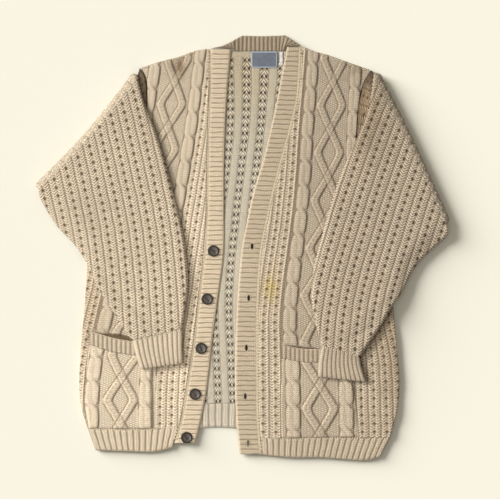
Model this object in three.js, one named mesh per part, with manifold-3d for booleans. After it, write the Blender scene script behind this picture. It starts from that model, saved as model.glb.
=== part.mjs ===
// Fisherman cardigan, laid flat on its back with both sleeves folded down over the fronts.
// Millimetres, +Z up. The origin is on the surface, under the middle of the garment;
// +Y points to the collar and +X to the wearer's left.

import * as THREE from 'three';
import { mergeVertices } from 'three/addons/utils/BufferGeometryUtils.js';
import Module from 'manifold-3d';

const wasm = await Module();
wasm.setup();

const { clamp, lerp, smoothstep } = THREE.MathUtils;

// ---------------------------------------------------------------- cloth

const WALL = 2.6; // plain knitted cloth
const GAP = 0.35; // between one piece and the next
const BACK_RELIEF = 1.0; // columns on the inside of the back
const RIB = 1.2; // ribs of hems, cuffs, bands and welts, above their grooves
const CABLE = 2.8; // rope cables, above the ground
const DIAMOND = 1.9; // diamond lattice, above the ground
const EYELET_RIB = 1.2; // ribs between the eyelet columns

// ---------------------------------------------------------------- heights of the layers

const BACK_Z = 0;
const FRONT_Z = BACK_Z + WALL + BACK_RELIEF + GAP;
const POCKET_Z = FRONT_Z + WALL + GAP;
const OVER_FRONT = FRONT_Z + WALL + CABLE + 2 * GAP; // sleeves, on the fronts
const OVER_POCKET = POCKET_Z + WALL + CABLE + 2 * GAP; // cuffs, on the pockets

// ---------------------------------------------------------------- knitting

const RIB_PITCH = { hem: 10.1, cuff: 9.1, band: 8.4, neck: 8, welt: 7.7, sleeve: 22.75 };
const CABLE_CROSSING = 42; // from one crossing of the strands to the next
const CABLE_OFFSET = 42; // middle of a cable from the middle of the diamonds, before stretching
const CABLE_HALF = 11.5;
const STRAND = 7.1; // side strands from the middle of their cable
const STRAND_LOW = 0.32; // part of the cable's height left where its strand goes under
const DIAMOND_HALF = 21; // middle of the lattice band from the middle of the diamond
const DIAMOND_BAND = 5; // half the width of the lattice band
const EYELETS_FROM = 62; // first eyelet column, from the middle of the diamonds
const EYELET_PITCH = 21.5;
const EYELETS_TO = 190; // far enough to reach every edge of a front
const BACK_PITCH = 28.5; // one plain column and one eyelet column
const BACK_EYELET_X = 9.6; // middle of one eyelet column of the back
const BACK_REACH = 300; // far enough to reach both sides

// ---------------------------------------------------------------- outlines of the two sides

// Edges are rows of [x, y]. The band rows give its free edge and its seam at one height.
// The grain rows give the middle of the diamonds and the stretch of the knitting there.
// The sleeve rows cross the folded sleeve from its inner to its outer edge: `ribs` is the width
// measured square to the ribs, `raise` goes from 0, lying on the front, to 1, lying on the pocket,
// and `drop` is how far the outer edge sinks beside the body.
const RIGHT = {
  shoulder: [[-57.4, 346], [-80, 343], [-112, 332], [-146, 323], [-178, 313]],
  armhole: [[-178, 313], [-167, 292], [-165, 240], [-171, 180], [-192, 118], [-226, 70], [-266, 42]],
  side: [[-266, 42], [-270, -30], [-275, -105], [-281, -170], [-284, -225], [-282, -275], [-269, -318]],
  hemTop: [[-269, -318], [-190, -320], [-111.8, -316]],
  hemFoot: [[-256, -355], [-200, -357], [-156, -358], [-121.6, -350.5]],
  band: [
    { y: 345.6, free: -19, seam: -57 },
    { y: 285, free: -24.5, seam: -57.5 },
    { y: 215, free: -29, seam: -60 },
    { y: 140, free: -31, seam: -62 },
    { y: 60, free: -31, seam: -63 },
    { y: -15, free: -32, seam: -68 },
    { y: -90, free: -42, seam: -77 },
    { y: -165, free: -52, seam: -85 },
    { y: -240, free: -60, seam: -97 },
    { y: -300, free: -71, seam: -107 },
    { y: -343, free: -82, seam: -118.5 },
  ],
  grain: [
    { y: 400, centre: -104, stretch: 0.9 },
    { y: 330, centre: -112, stretch: 0.9 },
    { y: 212, centre: -129, stretch: 0.95 },
    { y: 100, centre: -149, stretch: 0.98 },
    { y: -60, centre: -180, stretch: 1.05 },
    { y: -227, centre: -210, stretch: 1.12 },
    { y: -400, centre: -212, stretch: 1.12 },
  ],
  diamonds: { front: 290, pocket: -227, pitch: 80 },
  pocket: {
    mouth: [[-266, -146], [-228, -158], [-194, -164], [-153, -166]],
    welt: 24,
    right: [[-153, -166], [-157, -225], [-156, -270], [-155, -317]],
    left: [[-266, -146], [-272, -205], [-276, -260], [-268, -317]],
  },
  fold: { from: [-182, 299], to: [-355, 101], bow: -7 },
  sleeve: [
    { inner: [-182, 299], outer: [-355, 101], ribs: 226, raise: 0, drop: 0 },
    { inner: [-171, 255], outer: [-350, 80], ribs: 222, raise: 0, drop: 3 },
    { inner: [-150, 200], outer: [-322, 35], ribs: 213, raise: 0, drop: 7 },
    { inner: [-131, 138], outer: [-293, 4], ribs: 193, raise: 0, drop: 7 },
    { inner: [-115, 76], outer: [-270, -30], ribs: 176, raise: 0, drop: 1 },
    { inner: [-100, 8], outer: [-248, -77], ribs: 157, raise: 0.1, drop: 0 },
    { inner: [-94, -68], outer: [-222, -117], ribs: 126, raise: 0.5, drop: 0 },
    { inner: [-104, -143], outer: [-193, -162], ribs: 90, raise: 1, drop: 0 },
  ],
  cuff: [
    { inner: [-104, -144], outer: [-191, -163], raise: 1 },
    { inner: [-104, -178], outer: [-185, -189], raise: 1 },
    { inner: [-103, -203], outer: [-177, -213], raise: 1 },
  ],
};

const LEFT = {
  shoulder: [[104.4, 351], [126, 342], [152, 335], [190, 321], [226, 309]],
  armhole: [[226, 309], [211, 282], [203, 240], [200, 190], [208, 125], [230, 66], [260, 28]],
  side: [[260, 28], [262, -50], [265, -115], [270, -170], [275, -232], [271, -285], [258, -334]],
  hemTop: [[258, -334], [160, -333.4], [86, -335], [33.2, -334]],
  hemFoot: [[241, -367], [210, -373], [136, -368], [86, -368], [35.8, -363]],
  band: [
    { y: 350, free: 79, seam: 104 },
    { y: 300, free: 69, seam: 102 },
    { y: 257, free: 61, seam: 98 },
    { y: 205, free: 49.5, seam: 86 },
    { y: 152, free: 37, seam: 71 },
    { y: 100, free: 21, seam: 57.5 },
    { y: 47, free: 9, seam: 46 },
    { y: 0, free: 0, seam: 36.5 },
    { y: -50, free: -5, seam: 32 },
    { y: -130, free: -10, seam: 29 },
    { y: -230, free: -12, seam: 29 },
    { y: -300, free: -10, seam: 30 },
    { y: -362, free: -4, seam: 35 },
  ],
  grain: [
    { y: 400, centre: 166, stretch: 0.9 },
    { y: 330, centre: 162, stretch: 0.9 },
    { y: 206, centre: 154, stretch: 0.94 },
    { y: 121, centre: 150, stretch: 0.97 },
    { y: 38, centre: 143, stretch: 1.0 },
    { y: -50, centre: 134, stretch: 1.05 },
    { y: -126, centre: 129, stretch: 1.09 },
    { y: -210, centre: 135, stretch: 1.17 },
    { y: -400, centre: 138, stretch: 1.19 },
  ],
  diamonds: { front: 289, pocket: -241, pitch: 83 },
  pocket: {
    mouth: [[70, -170], [102, -177], [140, -178.5], [196, -180]],
    welt: 23,
    right: [[196, -180], [196, -230], [202, -290], [207, -331.8]],
    left: [[70, -170], [68, -230], [67, -285], [69, -334]],
  },
  fold: { from: [230, 302], to: [355, 39], bow: 3 },
  sleeve: [
    { inner: [230, 302], outer: [355, 39], ribs: 208, raise: 0, drop: 0 },
    { inner: [220, 238], outer: [360, 22], ribs: 206, raise: 0, drop: 3 },
    { inner: [199, 187], outer: [340, 2], ribs: 203, raise: 0, drop: 7 },
    { inner: [178, 140], outer: [313, -23], ribs: 187, raise: 0, drop: 7 },
    { inner: [161, 95], outer: [295, -48], ribs: 172, raise: 0, drop: 6 },
    { inner: [141, 25], outer: [281, -78], ribs: 160, raise: 0, drop: 3 },
    { inner: [124, -45], outer: [262, -105], ribs: 146, raise: 0.2, drop: 0 },
    { inner: [122, -100], outer: [240, -141], ribs: 113, raise: 0.65, drop: 0 },
    { inner: [138, -172], outer: [207, -190], ribs: 67, raise: 1, drop: 0 },
  ],
  cuff: [
    { inner: [139, -173], outer: [205, -190], raise: 1 },
    { inner: [134, -200], outer: [208, -209], raise: 1 },
    { inner: [132, -226], outer: [216, -235], raise: 1 },
  ],
};

const BACK = {
  neckY: 342.4,
  hemTop: [[-269, -318], [-190, -294], [-74, -276], [0, -275], [110, -292], [200, -316], [258, -334]],
  hemFoot: [[-256, -355], [-185, -334], [-74, -317], [-8, -317], [110, -333], [195, -355], [241, -367]],
};

// Rows across the neck band: its lower and upper edge, and the height of its underside.
const NECK = [
  { x: -56, low: 346.3, high: 348, z: 3.95 },
  { x: -36, low: 346.4, high: 351, z: 3.95 },
  { x: -17, low: 346.2, high: 359.5, z: 3.95 },
  { x: -13.5, low: 343, high: 362.5, z: 2.4 },
  { x: 0, low: 342.8, high: 369.8, z: 0 },
  { x: 34, low: 342.8, high: 369, z: 0 },
  { x: 66, low: 342.8, high: 369.8, z: 0 },
  { x: 72, low: 343, high: 370.2, z: 1.2 },
  { x: 75.5, low: 350.6, high: 370.6, z: 2.4 },
  { x: 86, low: 350.8, high: 363.5, z: 3.95 },
  { x: 97, low: 351.2, high: 356, z: 3.95 },
  { x: 104, low: 351.8, high: 353.2, z: 3.95 },
];

const BUTTON = { radius: 10, height: 3.4, rim: 2.2, dish: 1.0, hole: 1.1, holeOffset: 2.6 };
const BUTTONS = [[-50, -7], [-61, -91], [-71.5, -177], [-82, -257], [-97, -333]];
const BUTTONHOLE = { width: 3, length: 9 };
const BUTTONHOLES = [[18, 1], [12, -89], [8, -176], [6, -261], [11, -343]];
const LABEL = { x: 40.5, y: 327.5, width: 49, height: 29, thickness: 0.8, corner: 4 };
const CARE_TAG = { x: 68.6, y: 329, width: 5.4, height: 24, thickness: 0.5, corner: 0.8 };

// Flattened sleeves and cuffs: half their thickness, the radius of the fold at the shoulder, how
// wide their long edges round over, how far the ribs keep from the inner and the outer edge, and
// the part of the width from which the outer edge sinks.
const TUBE = { half: 4.2, bend: 5, round: 7, ribsFrom: 12, ribsTo: 2, dropFrom: 0.84 };

// ---------------------------------------------------------------- finishes

const finish = (color, roughness, metalness = 0) => ({ color, roughness, metalness });
const WOOL = finish(0xe3d2b3, 0.95);
const HORN = finish(0x3c342d, 0.4);
const LABEL_WEAVE = finish(0x9aa3b3, 0.8);
const TAG_WEAVE = finish(0xe9e6de, 0.8);

// ---------------------------------------------------------------- curves through the tables

const spline = (rows) => new THREE.SplineCurve(rows.map(([x, y]) => new THREE.Vector2(x, y)));
const smooth = (rows, steps) => spline(rows).getPoints(steps).map(({ x, y }) => [x, y]);
const shift = (points, dx, dy) => points.map(([x, y]) => [x + dx, y + dy]);

/** A value of the table at a place between its rows, on a smooth curve through them. */
function between(rows, place, value) {
  const at = clamp(place, 0, rows.length - 1);
  const i = Math.min(Math.floor(at), rows.length - 2);
  const [a, b, c, d] = [i - 1, i, i + 1, i + 2].map((k) => value(rows[clamp(k, 0, rows.length - 1)]));
  const f = at - i;
  const slopeB = (c - a) / (i === 0 ? 1 : 2);
  const slopeC = (d - b) / (i + 2 === rows.length ? 1 : 2);
  return (1 + 2 * f) * (1 - f) ** 2 * b + f * (1 - f) ** 2 * slopeB
    + f * f * (3 - 2 * f) * c + f * f * (f - 1) * slopeC;
}

/** The place in a table whose key falls from row to row where the key has this value. */
function placeOf(rows, key, value) {
  let [low, high] = [0, rows.length - 1];
  for (let step = 0; step < 40; step += 1) {
    const middle = (low + high) / 2;
    if (between(rows, middle, (row) => row[key]) > value) low = middle;
    else high = middle;
  }
  return (low + high) / 2;
}

/** The height of a line of [x, y] points at x. */
function heightOfLine(line, x) {
  const points = [...line].sort(([a], [b]) => a - b);
  const i = clamp(points.findIndex(([at]) => at >= x), 1, points.length - 1);
  const [[x0, y0], [x1, y1]] = [points[i - 1], points[i]];
  return lerp(y0, y1, clamp((x - x0) / (x1 - x0), 0, 1));
}

// ---------------------------------------------------------------- solids from columns of points

/** Points and triangles of one closed surface, laid between neighbouring columns of points. */
class Skin {
  points = [];
  faces = [];

  add(column) {
    return column.map((point) => ({ ...point, id: this.points.push(point) - 1 }));
  }

  /** Triangles between two columns, stepping along whichever is behind. */
  strip(a, b, key = 'along') {
    let [i, j] = [0, 0];
    while (i < a.length - 1 || j < b.length - 1) {
      const onA = j === b.length - 1
        || (i < a.length - 1 && a[i][key] + a[i + 1][key] <= b[j][key] + b[j + 1][key]);
      const next = onA ? a[i + 1] : b[j + 1];
      if (a[i].id !== b[j].id && next.id !== a[i].id && next.id !== b[j].id) {
        this.faces.push([a[i].id, b[j].id, next.id]);
      }
      if (onA) i += 1;
      else j += 1;
    }
  }

  strips(columns) {
    columns.slice(1).forEach((column, i) => this.strip(columns[i], column));
  }

  volume() {
    const corner = (id) => new THREE.Vector3(this.points[id].x, this.points[id].y, this.points[id].z);
    const part = ([a, b, c]) => corner(a).dot(corner(b).cross(corner(c))) / 6;
    return this.faces.reduce((sum, face) => sum + part(face), 0);
  }

  geometry() {
    const turned = this.volume() < 0;
    const index = this.faces.flatMap(([a, b, c]) => (turned ? [a, c, b] : [a, b, c]));
    const position = this.points.flatMap(({ x, y, z }) => [x, y, z]);
    const geometry = new THREE.BufferGeometry();
    geometry.setAttribute('position', new THREE.Float32BufferAttribute(position, 3));
    geometry.setIndex(index);
    return geometry;
  }
}

/** A closed sheet: a fine upper face over a coarse under face, joined all round. */
function slab(top, under) {
  const skin = new Skin();
  const upper = top.map((column) => skin.add(column));
  const lower = under.map((column) => skin.add(column));
  skin.strips([...upper, ...[...lower].reverse(), upper[0]]);
  skin.strip(upper.map((column) => column[0]), lower.map((column) => column[0]), 'across');
  skin.strip(lower.map((column) => column.at(-1)), upper.map((column) => column.at(-1)), 'across');
  return skin.geometry();
}

/** Closes the end of a tube between a ring of its outer skin and a ring of its inner skin. */
function tubeEnd(skin, outer, inner) {
  const closed = (ring) => [...ring, { ...ring[0], around: 1 }];
  skin.strip(closed(outer), closed(inner), 'around');
}

function solid(geometry) {
  const bare = geometry.clone();
  bare.deleteAttribute('normal');
  bare.deleteAttribute('uv');
  const merged = mergeVertices(bare);
  return new wasm.Manifold(new wasm.Mesh({
    numProp: 3,
    vertProperties: merged.attributes.position.array,
    triVerts: Uint32Array.from(merged.index.array),
  }));
}

function geometryOf(manifold) {
  const { vertProperties, triVerts } = manifold.getMesh();
  const geometry = new THREE.BufferGeometry();
  geometry.setAttribute('position', new THREE.BufferAttribute(vertProperties, 3));
  geometry.setIndex(new THREE.BufferAttribute(triVerts, 1));
  return geometry;
}

const BLOCK = 60; // taller than any sheet of cloth, above and below

/** A tall block with this outline, to cut cloth to. */
function block(outline) {
  const shape = new THREE.Shape(outline.map(([x, y]) => new THREE.Vector2(x, y)));
  const tall = new THREE.ExtrudeGeometry(shape, { depth: BLOCK, bevelEnabled: false });
  return solid(tall.translate(0, 0, -BLOCK / 2));
}

const cutTo = (geometry, outline) => geometryOf(solid(geometry).intersect(block(outline)));

// ---------------------------------------------------------------- ribbed strips

// One rib from groove to groove: where its corners are, and how high.
const RIB_CORNERS = [{ at: 0, height: 0 }, { at: 0.28, height: 1 }, { at: 0.72, height: 1 }];

/**
 * A ribbed strip between two edges. Each rib runs from one edge to the other, and `place(s, side)`
 * gives the strip's edge at a fraction s of its length, on side 0 or 1, at its underside. The
 * under face is plain, with one column of points for so many ribs.
 */
function ribbedStrip(place, ribs, ribsBelow = 2) {
  const column = (s, height) => [0, 1].map((side) => {
    const { x, y, z } = place(s, side);
    return { x, y, z: z + height, along: side, across: s };
  });
  const corners = [...Array(ribs).keys()].flatMap((k) => RIB_CORNERS.map(({ at, height }) => (
    { s: (k + at) / ribs, height: WALL + RIB * height })));
  const top = [...corners, { s: 1, height: WALL }].map(({ s, height }) => column(s, height));
  const steps = Math.ceil(ribs / ribsBelow);
  const under = [...Array(steps + 1).keys()].map((k) => column(k / steps, 0));
  return slab(top, under);
}

/** A ribbed strip between two curves, each walked at an even pace. */
function ribsBetween(edgeA, edgeB, pitch, z) {
  const edges = [spline(edgeA), spline(edgeB)];
  const ribs = Math.round(edges[0].getLength() / pitch);
  return ribbedStrip((s, side) => {
    const { x, y } = edges[side].getPointAt(s);
    return { x, y, z };
  }, ribs);
}

// ---------------------------------------------------------------- patterned cloth

const REACH = { top: 400, foot: -400 }; // patterned cloth is knitted long and cut to its outline
const PLAIN_STEP = 80;
const MOUTH_STEP = 2.5; // how fast the pattern dies out above a pocket's mouth

/** Rows from the foot to the top of the cloth, at least one every `step`, through `from`. */
function rowsEvery(step, from) {
  const first = Math.ceil((REACH.foot + 1 - from) / step);
  const last = Math.floor((REACH.top - 1 - from) / step);
  const inside = [...Array(last - first + 1).keys()].map((k) => from + (first + k) * step);
  return [REACH.foot, ...inside, REACH.top];
}

/** A straight column of the pattern at `place`, with one height. */
const plainColumn = (place, height, rows = rowsEvery(PLAIN_STEP, 0)) => ({
  rows,
  place: () => place,
  height: () => height,
});

/** A rope cable: two strands that pass over each other, leaning to the right going down. */
function cable(middle) {
  const strand = (offset, turn) => ({
    rows: rowsEvery(CABLE_CROSSING / 4, turn * CABLE_CROSSING),
    place: () => middle + offset,
    height: (y) => {
      const over = (1 + Math.cos(2 * Math.PI * (y / CABLE_CROSSING - turn))) / 2;
      return CABLE * lerp(STRAND_LOW, 1, over);
    },
  });
  return [
    plainColumn(middle - CABLE_HALF, 0),
    strand(-STRAND, 0.3),
    strand(0, 0),
    strand(STRAND, -0.3),
    plainColumn(middle + CABLE_HALF, 0),
  ];
}

/** A lattice of crossing bands that leaves diamonds, one every `pitch`, crossing at `crossing`. */
function diamonds(crossing, pitch) {
  const swing = (y) => {
    const turn = (((y - crossing) / pitch) % 1 + 1) % 1;
    return DIAMOND_HALF * (1 - Math.abs(2 * turn - 1));
  };
  const parting = ((DIAMOND_BAND + 1) / DIAMOND_HALF) * (pitch / 2); // where the two bands part
  const rows = [0, parting, pitch / 2, pitch - parting]
    .flatMap((offset) => rowsEvery(pitch, crossing + offset))
    .sort((a, b) => a - b)
    .filter((y, i, all) => i === 0 || y - all[i - 1] > 1);
  const line = (side, offset, least) => {
    const place = (y) => Math.max(swing(y) + offset, least);
    const height = (y) => DIAMOND * Math.max(0, 1 - Math.abs(place(y) - swing(y)) / DIAMOND_BAND);
    return { rows, place: (y) => side * place(y), height };
  };
  const half = (side) => [
    line(side, DIAMOND_BAND, 0),
    line(side, 0, 2),
    line(side, -DIAMOND_BAND, 1),
  ];
  const centre = line(1, -DIAMOND_HALF - DIAMOND_BAND, 0);
  return [...half(-1), centre, ...half(1).reverse()];
}

/** Ribs in pairs between eyelet columns, from the first eyelet column outwards. */
function eyeletRibs(side) {
  const repeats = Math.ceil((EYELETS_TO - EYELETS_FROM) / EYELET_PITCH);
  const repeat = [
    { at: 0, height: 0 },
    { at: 0.26, height: EYELET_RIB },
    { at: 0.5, height: 0.35 * EYELET_RIB },
    { at: 0.74, height: EYELET_RIB },
  ];
  const columns = [...Array(repeats).keys()].flatMap((k) => repeat.map(({ at, height }) => (
    plainColumn(side * (EYELETS_FROM + (k + at) * EYELET_PITCH), height))));
  return side > 0 ? columns : columns.reverse();
}

/**
 * Lays pattern columns on the cloth's grain and knits them into one long sheet. Behind a pocket
 * the middle columns are plain from its mouth down.
 */
function knit(columns, grain, z, behind = null) {
  const rowsUp = [...grain].reverse();
  const grainAt = (y, key) => {
    const i = clamp(rowsUp.findIndex((row) => row.y >= y), 1, rowsUp.length - 1);
    const [a, b] = [rowsUp[i - 1], rowsUp[i]];
    return between(rowsUp, i - 1 + (y - a.y) / (b.y - a.y), (row) => row[key]);
  };
  const point = (x, y, height) => ({ x, y, z: z + WALL + height, along: y, across: x });
  const laid = columns.map(({ rows, place, height }) => {
    const lay = (y, relief) => (
      point(grainAt(y, 'centre') + place(y) * grainAt(y, 'stretch'), y, relief));
    const patterned = (ys) => ys.map((y) => lay(y, height(y)));
    if (!behind || Math.abs(place(behind.y)) > behind.half) return patterned(rows);
    const mouth = heightOfLine(behind.mouth, lay(behind.y, 0).x);
    const plain = rowsEvery(PLAIN_STEP, 0).filter((y) => y < mouth);
    return [
      ...plain.map((y) => lay(y, 0)),
      lay(mouth + MOUTH_STEP, 0),
      ...patterned([mouth + 2 * MOUTH_STEP, ...rows.filter((y) => y > mouth + 3 * MOUTH_STEP)]),
    ];
  });
  const places = laid.flat().map(({ x }) => x);
  const sides = [Math.min(...places) - 10, Math.max(...places) + 10];
  const straight = (x, drop) => [REACH.foot, REACH.top].map((y) => point(x, y, -drop));
  const top = [straight(sides[0], 0), ...laid, straight(sides[1], 0)];
  return slab(top, sides.map((x) => straight(x, WALL)));
}

// ---------------------------------------------------------------- body

const bandEdge = (side, key) => side.band.map((row) => [row[key], row.y]);

/** The front's outline, from the neck round the armhole, the side and the hem to the band seam. */
function frontOutline(side, sign) {
  return [
    ...smooth(side.shoulder, 10),
    ...side.armhole.slice(1),
    ...smooth(side.side, 18).slice(1, -1),
    ...shift(smooth(side.hemTop, 30), 0, GAP / 2),
    ...shift(smooth(bandEdge(side, 'seam'), 48), sign * GAP / 2, 0)
      .filter(([, y]) => y > side.hemTop.at(-1)[1] + 1).reverse(),
  ];
}

function front(side, sign) {
  const { mouth } = side.pocket;
  const behind = { mouth, y: mouth[1][1], half: CABLE_OFFSET + CABLE_HALF + 1 };
  const { front: crossing, pitch } = side.diamonds;
  const columns = [
    ...eyeletRibs(-1),
    ...cable(-CABLE_OFFSET),
    ...diamonds(crossing, pitch),
    ...cable(CABLE_OFFSET),
    ...eyeletRibs(1),
  ];
  return cutTo(knit(columns, side.grain, FRONT_Z, behind), frontOutline(side, sign));
}

/** Plain columns between columns of eyelet pairs, on the inside of the back. */
function back() {
  const repeat = [
    { at: -0.27, height: 0 },
    { at: 0, height: 0.45 * BACK_RELIEF },
    { at: 0.27, height: 0 },
    { at: 0.34, height: BACK_RELIEF },
    { at: 0.66, height: BACK_RELIEF },
  ];
  const half = Math.ceil(BACK_REACH / BACK_PITCH);
  const columns = [...Array(2 * half + 1).keys()].flatMap((k) => repeat.map(({ at, height }) => (
    plainColumn((k - half + at) * BACK_PITCH, height, [REACH.foot, REACH.top]))));
  const grain = [REACH.top, REACH.foot].map((y) => ({ y, centre: BACK_EYELET_X, stretch: 1 }));
  const below = (points) => points.filter(([, y]) => y < BACK.neckY);
  const outline = [
    ...below(smooth(RIGHT.shoulder, 10)),
    ...RIGHT.armhole.slice(1),
    ...smooth(RIGHT.side, 18).slice(1, -1),
    ...shift(smooth(BACK.hemTop, 40), 0, GAP / 2),
    ...smooth(LEFT.side, 18).slice(1, -1).reverse(),
    ...LEFT.armhole.slice(1).reverse(),
    ...below(smooth(LEFT.shoulder, 10)).reverse(),
    [LEFT.shoulder[1][0] - 4, BACK.neckY],
    [RIGHT.shoulder[1][0] + 4, BACK.neckY],
  ];
  return cutTo(knit(columns, grain, BACK_Z), outline);
}

const hem = (top, foot, z) => ribsBetween(shift(top, 0, -GAP / 2), foot, RIB_PITCH.hem, z);

function band(side, sign) {
  const seam = shift(bandEdge(side, 'seam'), -sign * GAP, 0);
  return ribsBetween(seam, bandEdge(side, 'free'), RIB_PITCH.band, FRONT_Z);
}

/** The buttonhole band: slits with round ends, cut through along the band. */
function buttonholeBand() {
  const { width, length } = BUTTONHOLE;
  const slit = new THREE.CapsuleGeometry(width / 2, length - width, 2, 8);
  const cut = BUTTONHOLES.reduce((cloth, [x, y]) => (
    cloth.subtract(solid(slit.clone().scale(1, 1, 8).translate(x, y, FRONT_Z)))
  ), solid(band(LEFT, 1)));
  return geometryOf(cut);
}

function neckBand() {
  const width = NECK.at(-1).x - NECK[0].x;
  const place = (s, side) => {
    const x = NECK[0].x + s * width;
    const i = clamp(NECK.findIndex((row) => row.x >= x), 1, NECK.length - 1);
    const at = i - 1 + (x - NECK[i - 1].x) / (NECK[i].x - NECK[i - 1].x);
    const linear = (key) => lerp(NECK[i - 1][key], NECK[i][key], at - i + 1);
    return { x, y: linear(side === 0 ? 'low' : 'high'), z: linear('z') };
  };
  return ribbedStrip(place, Math.round(width / RIB_PITCH.neck), 0.25);
}

// ---------------------------------------------------------------- pockets

function pocketWelt({ mouth, welt }) {
  return ribsBetween(mouth, shift(mouth, 0, -welt), RIB_PITCH.welt, POCKET_Z);
}

/** The pocket front below its welt, which carries the cables and the diamonds on. */
function pocket(side) {
  const { mouth, welt, left, right } = side.pocket;
  const { pocket: crossing, pitch } = side.diamonds;
  const columns = [
    plainColumn(-CABLE_OFFSET - CABLE_HALF - 4, 0),
    ...cable(-CABLE_OFFSET),
    ...diamonds(crossing, pitch),
    ...cable(CABLE_OFFSET),
    plainColumn(CABLE_OFFSET + CABLE_HALF + 4, 0),
  ];
  const top = shift(smooth(mouth, 12), 0, -welt - GAP);
  const highest = Math.min(top[0][1], top.at(-1)[1]) - 2;
  const below = (points) => smooth(points, 10).filter(([, y]) => y < highest);
  const outline = [...top, ...below(right), ...below(left).reverse()];
  return cutTo(knit(columns, side.grain, POCKET_Z), outline);
}

// ---------------------------------------------------------------- sleeves

/** Underside of a sleeve that lies on the front (0) or on the pocket (1). */
const lift = (raised) => lerp(OVER_FRONT, OVER_POCKET, raised);

/** A flattened tube's rounding: how much of its thickness is left this far from its long edge. */
const rounding = (distance) => Math.sqrt(1 - (1 - clamp(distance / TUBE.round, 0, 1)) ** 2);

/**
 * A sleeve as a flattened tube. `along` is -2 at the armhole, -1 where it starts to fold over,
 * 0 where it lies on top, and then one more at each row of its table, down to the cuff.
 * `across` runs from 0 at the inner edge to 1 at the outer one.
 */
class Sleeve {
  constructor(side, sign) {
    this.rows = side.sleeve;
    this.armhole = shift(side.armhole, sign * 2 * GAP, GAP).map(([x, y]) => new THREE.Vector2(x, y));
    this.from = new THREE.Vector2(...side.fold.from);
    this.to = new THREE.Vector2(...side.fold.to);
    this.outward = this.to.clone().sub(this.from).normalize();
    this.outward = new THREE.Vector2(-sign * this.outward.y, sign * this.outward.x);
    this.bow = side.fold.bow;
    this.last = this.rows.length - 1;
  }

  foldPoint(across) {
    const bowed = this.outward.clone().multiplyScalar(this.bow * Math.sin(Math.PI * across));
    return this.from.clone().lerp(this.to, across).add(bowed);
  }

  armholePoint(across) {
    const place = across * (this.armhole.length - 1);
    const i = Math.min(Math.floor(place), this.armhole.length - 2);
    return this.armhole[i].clone().lerp(this.armhole[i + 1], place - i);
  }

  ribWidth(along) {
    return between(this.rows, Math.max(along, 0), (row) => row.ribs);
  }

  ends(along) {
    if (along <= 0) return [0, 1].map((across) => this.foldPoint(across));
    const edge = (key) => [0, 1].map((axis) => between(this.rows, along, (row) => row[key][axis]));
    return ['inner', 'outer'].map((key) => new THREE.Vector2(...edge(key)));
  }

  width(along) {
    const [inner, outer] = along <= -2 ? [0, 1].map((s) => this.armholePoint(s)) : this.ends(along);
    return inner.distanceTo(outer);
  }

  /** Halfway through the tube: its place, and the direction out of the side that shows. */
  middle(along, across) {
    const { half, bend, dropFrom } = TUBE;
    if (along <= 0) {
      const turn = clamp(along + 1, 0, 1) * Math.PI;
      const below = clamp(-1 - along, 0, 1);
      const { x, y } = this.foldPoint(across).lerp(this.armholePoint(across), below)
        .add(this.outward.clone().multiplyScalar(bend * Math.sin(turn)));
      const out = this.outward.clone().multiplyScalar(Math.sin(turn));
      const z = half + lift(0) * (1 - Math.cos(turn)) / 2;
      return { place: new THREE.Vector3(x, y, z), out: new THREE.Vector3(out.x, out.y, -Math.cos(turn)) };
    }
    const [inner, outer] = this.ends(along);
    const bowed = this.bow * Math.sin(Math.PI * across) * clamp(1 - along, 0, 1) ** 2;
    const { x, y } = inner.lerp(outer, across).add(this.outward.clone().multiplyScalar(bowed));
    const raised = between(this.rows, along, (row) => row.raise);
    const drop = between(this.rows, along, (row) => row.drop);
    const z = half + lift(raised) - drop * smoothstep(across, dropFrom, 1);
    return { place: new THREE.Vector3(x, y, z), out: new THREE.Vector3(0, 0, 1) };
  }

  /** A point of the tube's face: face 1 shows, face -1 lies below; inset is 0 or the wall. */
  point(along, across, face, inset = 0, relief = 0) {
    const width = this.width(along);
    const margin = inset / width;
    const { place, out } = this.middle(along, lerp(margin, 1 - margin, across));
    const round = rounding(Math.min(across, 1 - across) * (width - 2 * inset));
    const showing = smoothstep(along, -0.8, -0.55);
    const { x, y, z } = place.addScaledVector(out, face * round * (TUBE.half - inset + relief * showing));
    return { x, y, z, along, across, around: face > 0 ? across / 2 : 1 - across / 2 };
  }
}

/** Rib columns across a sleeve: distance from its inner edge, and height. */
function sleeveRibs(width) {
  const repeat = [
    { at: 0, height: 0.35 * EYELET_RIB },
    { at: 0.25, height: EYELET_RIB },
    { at: 0.5, height: 0 },
    { at: 0.75, height: EYELET_RIB },
  ];
  const count = Math.ceil((width - TUBE.ribsFrom) / RIB_PITCH.sleeve);
  const ribs = [...Array(count).keys()].flatMap((k) => repeat.map(({ at, height }) => (
    { place: TUBE.ribsFrom + (k + at) * RIB_PITCH.sleeve, height })));
  const edge = [0, 0.2, 0.6].map((part) => ({ place: part * TUBE.round, height: 0 }));
  return [...edge, ...ribs.filter(({ place }) => place < width - TUBE.ribsTo)];
}

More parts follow.
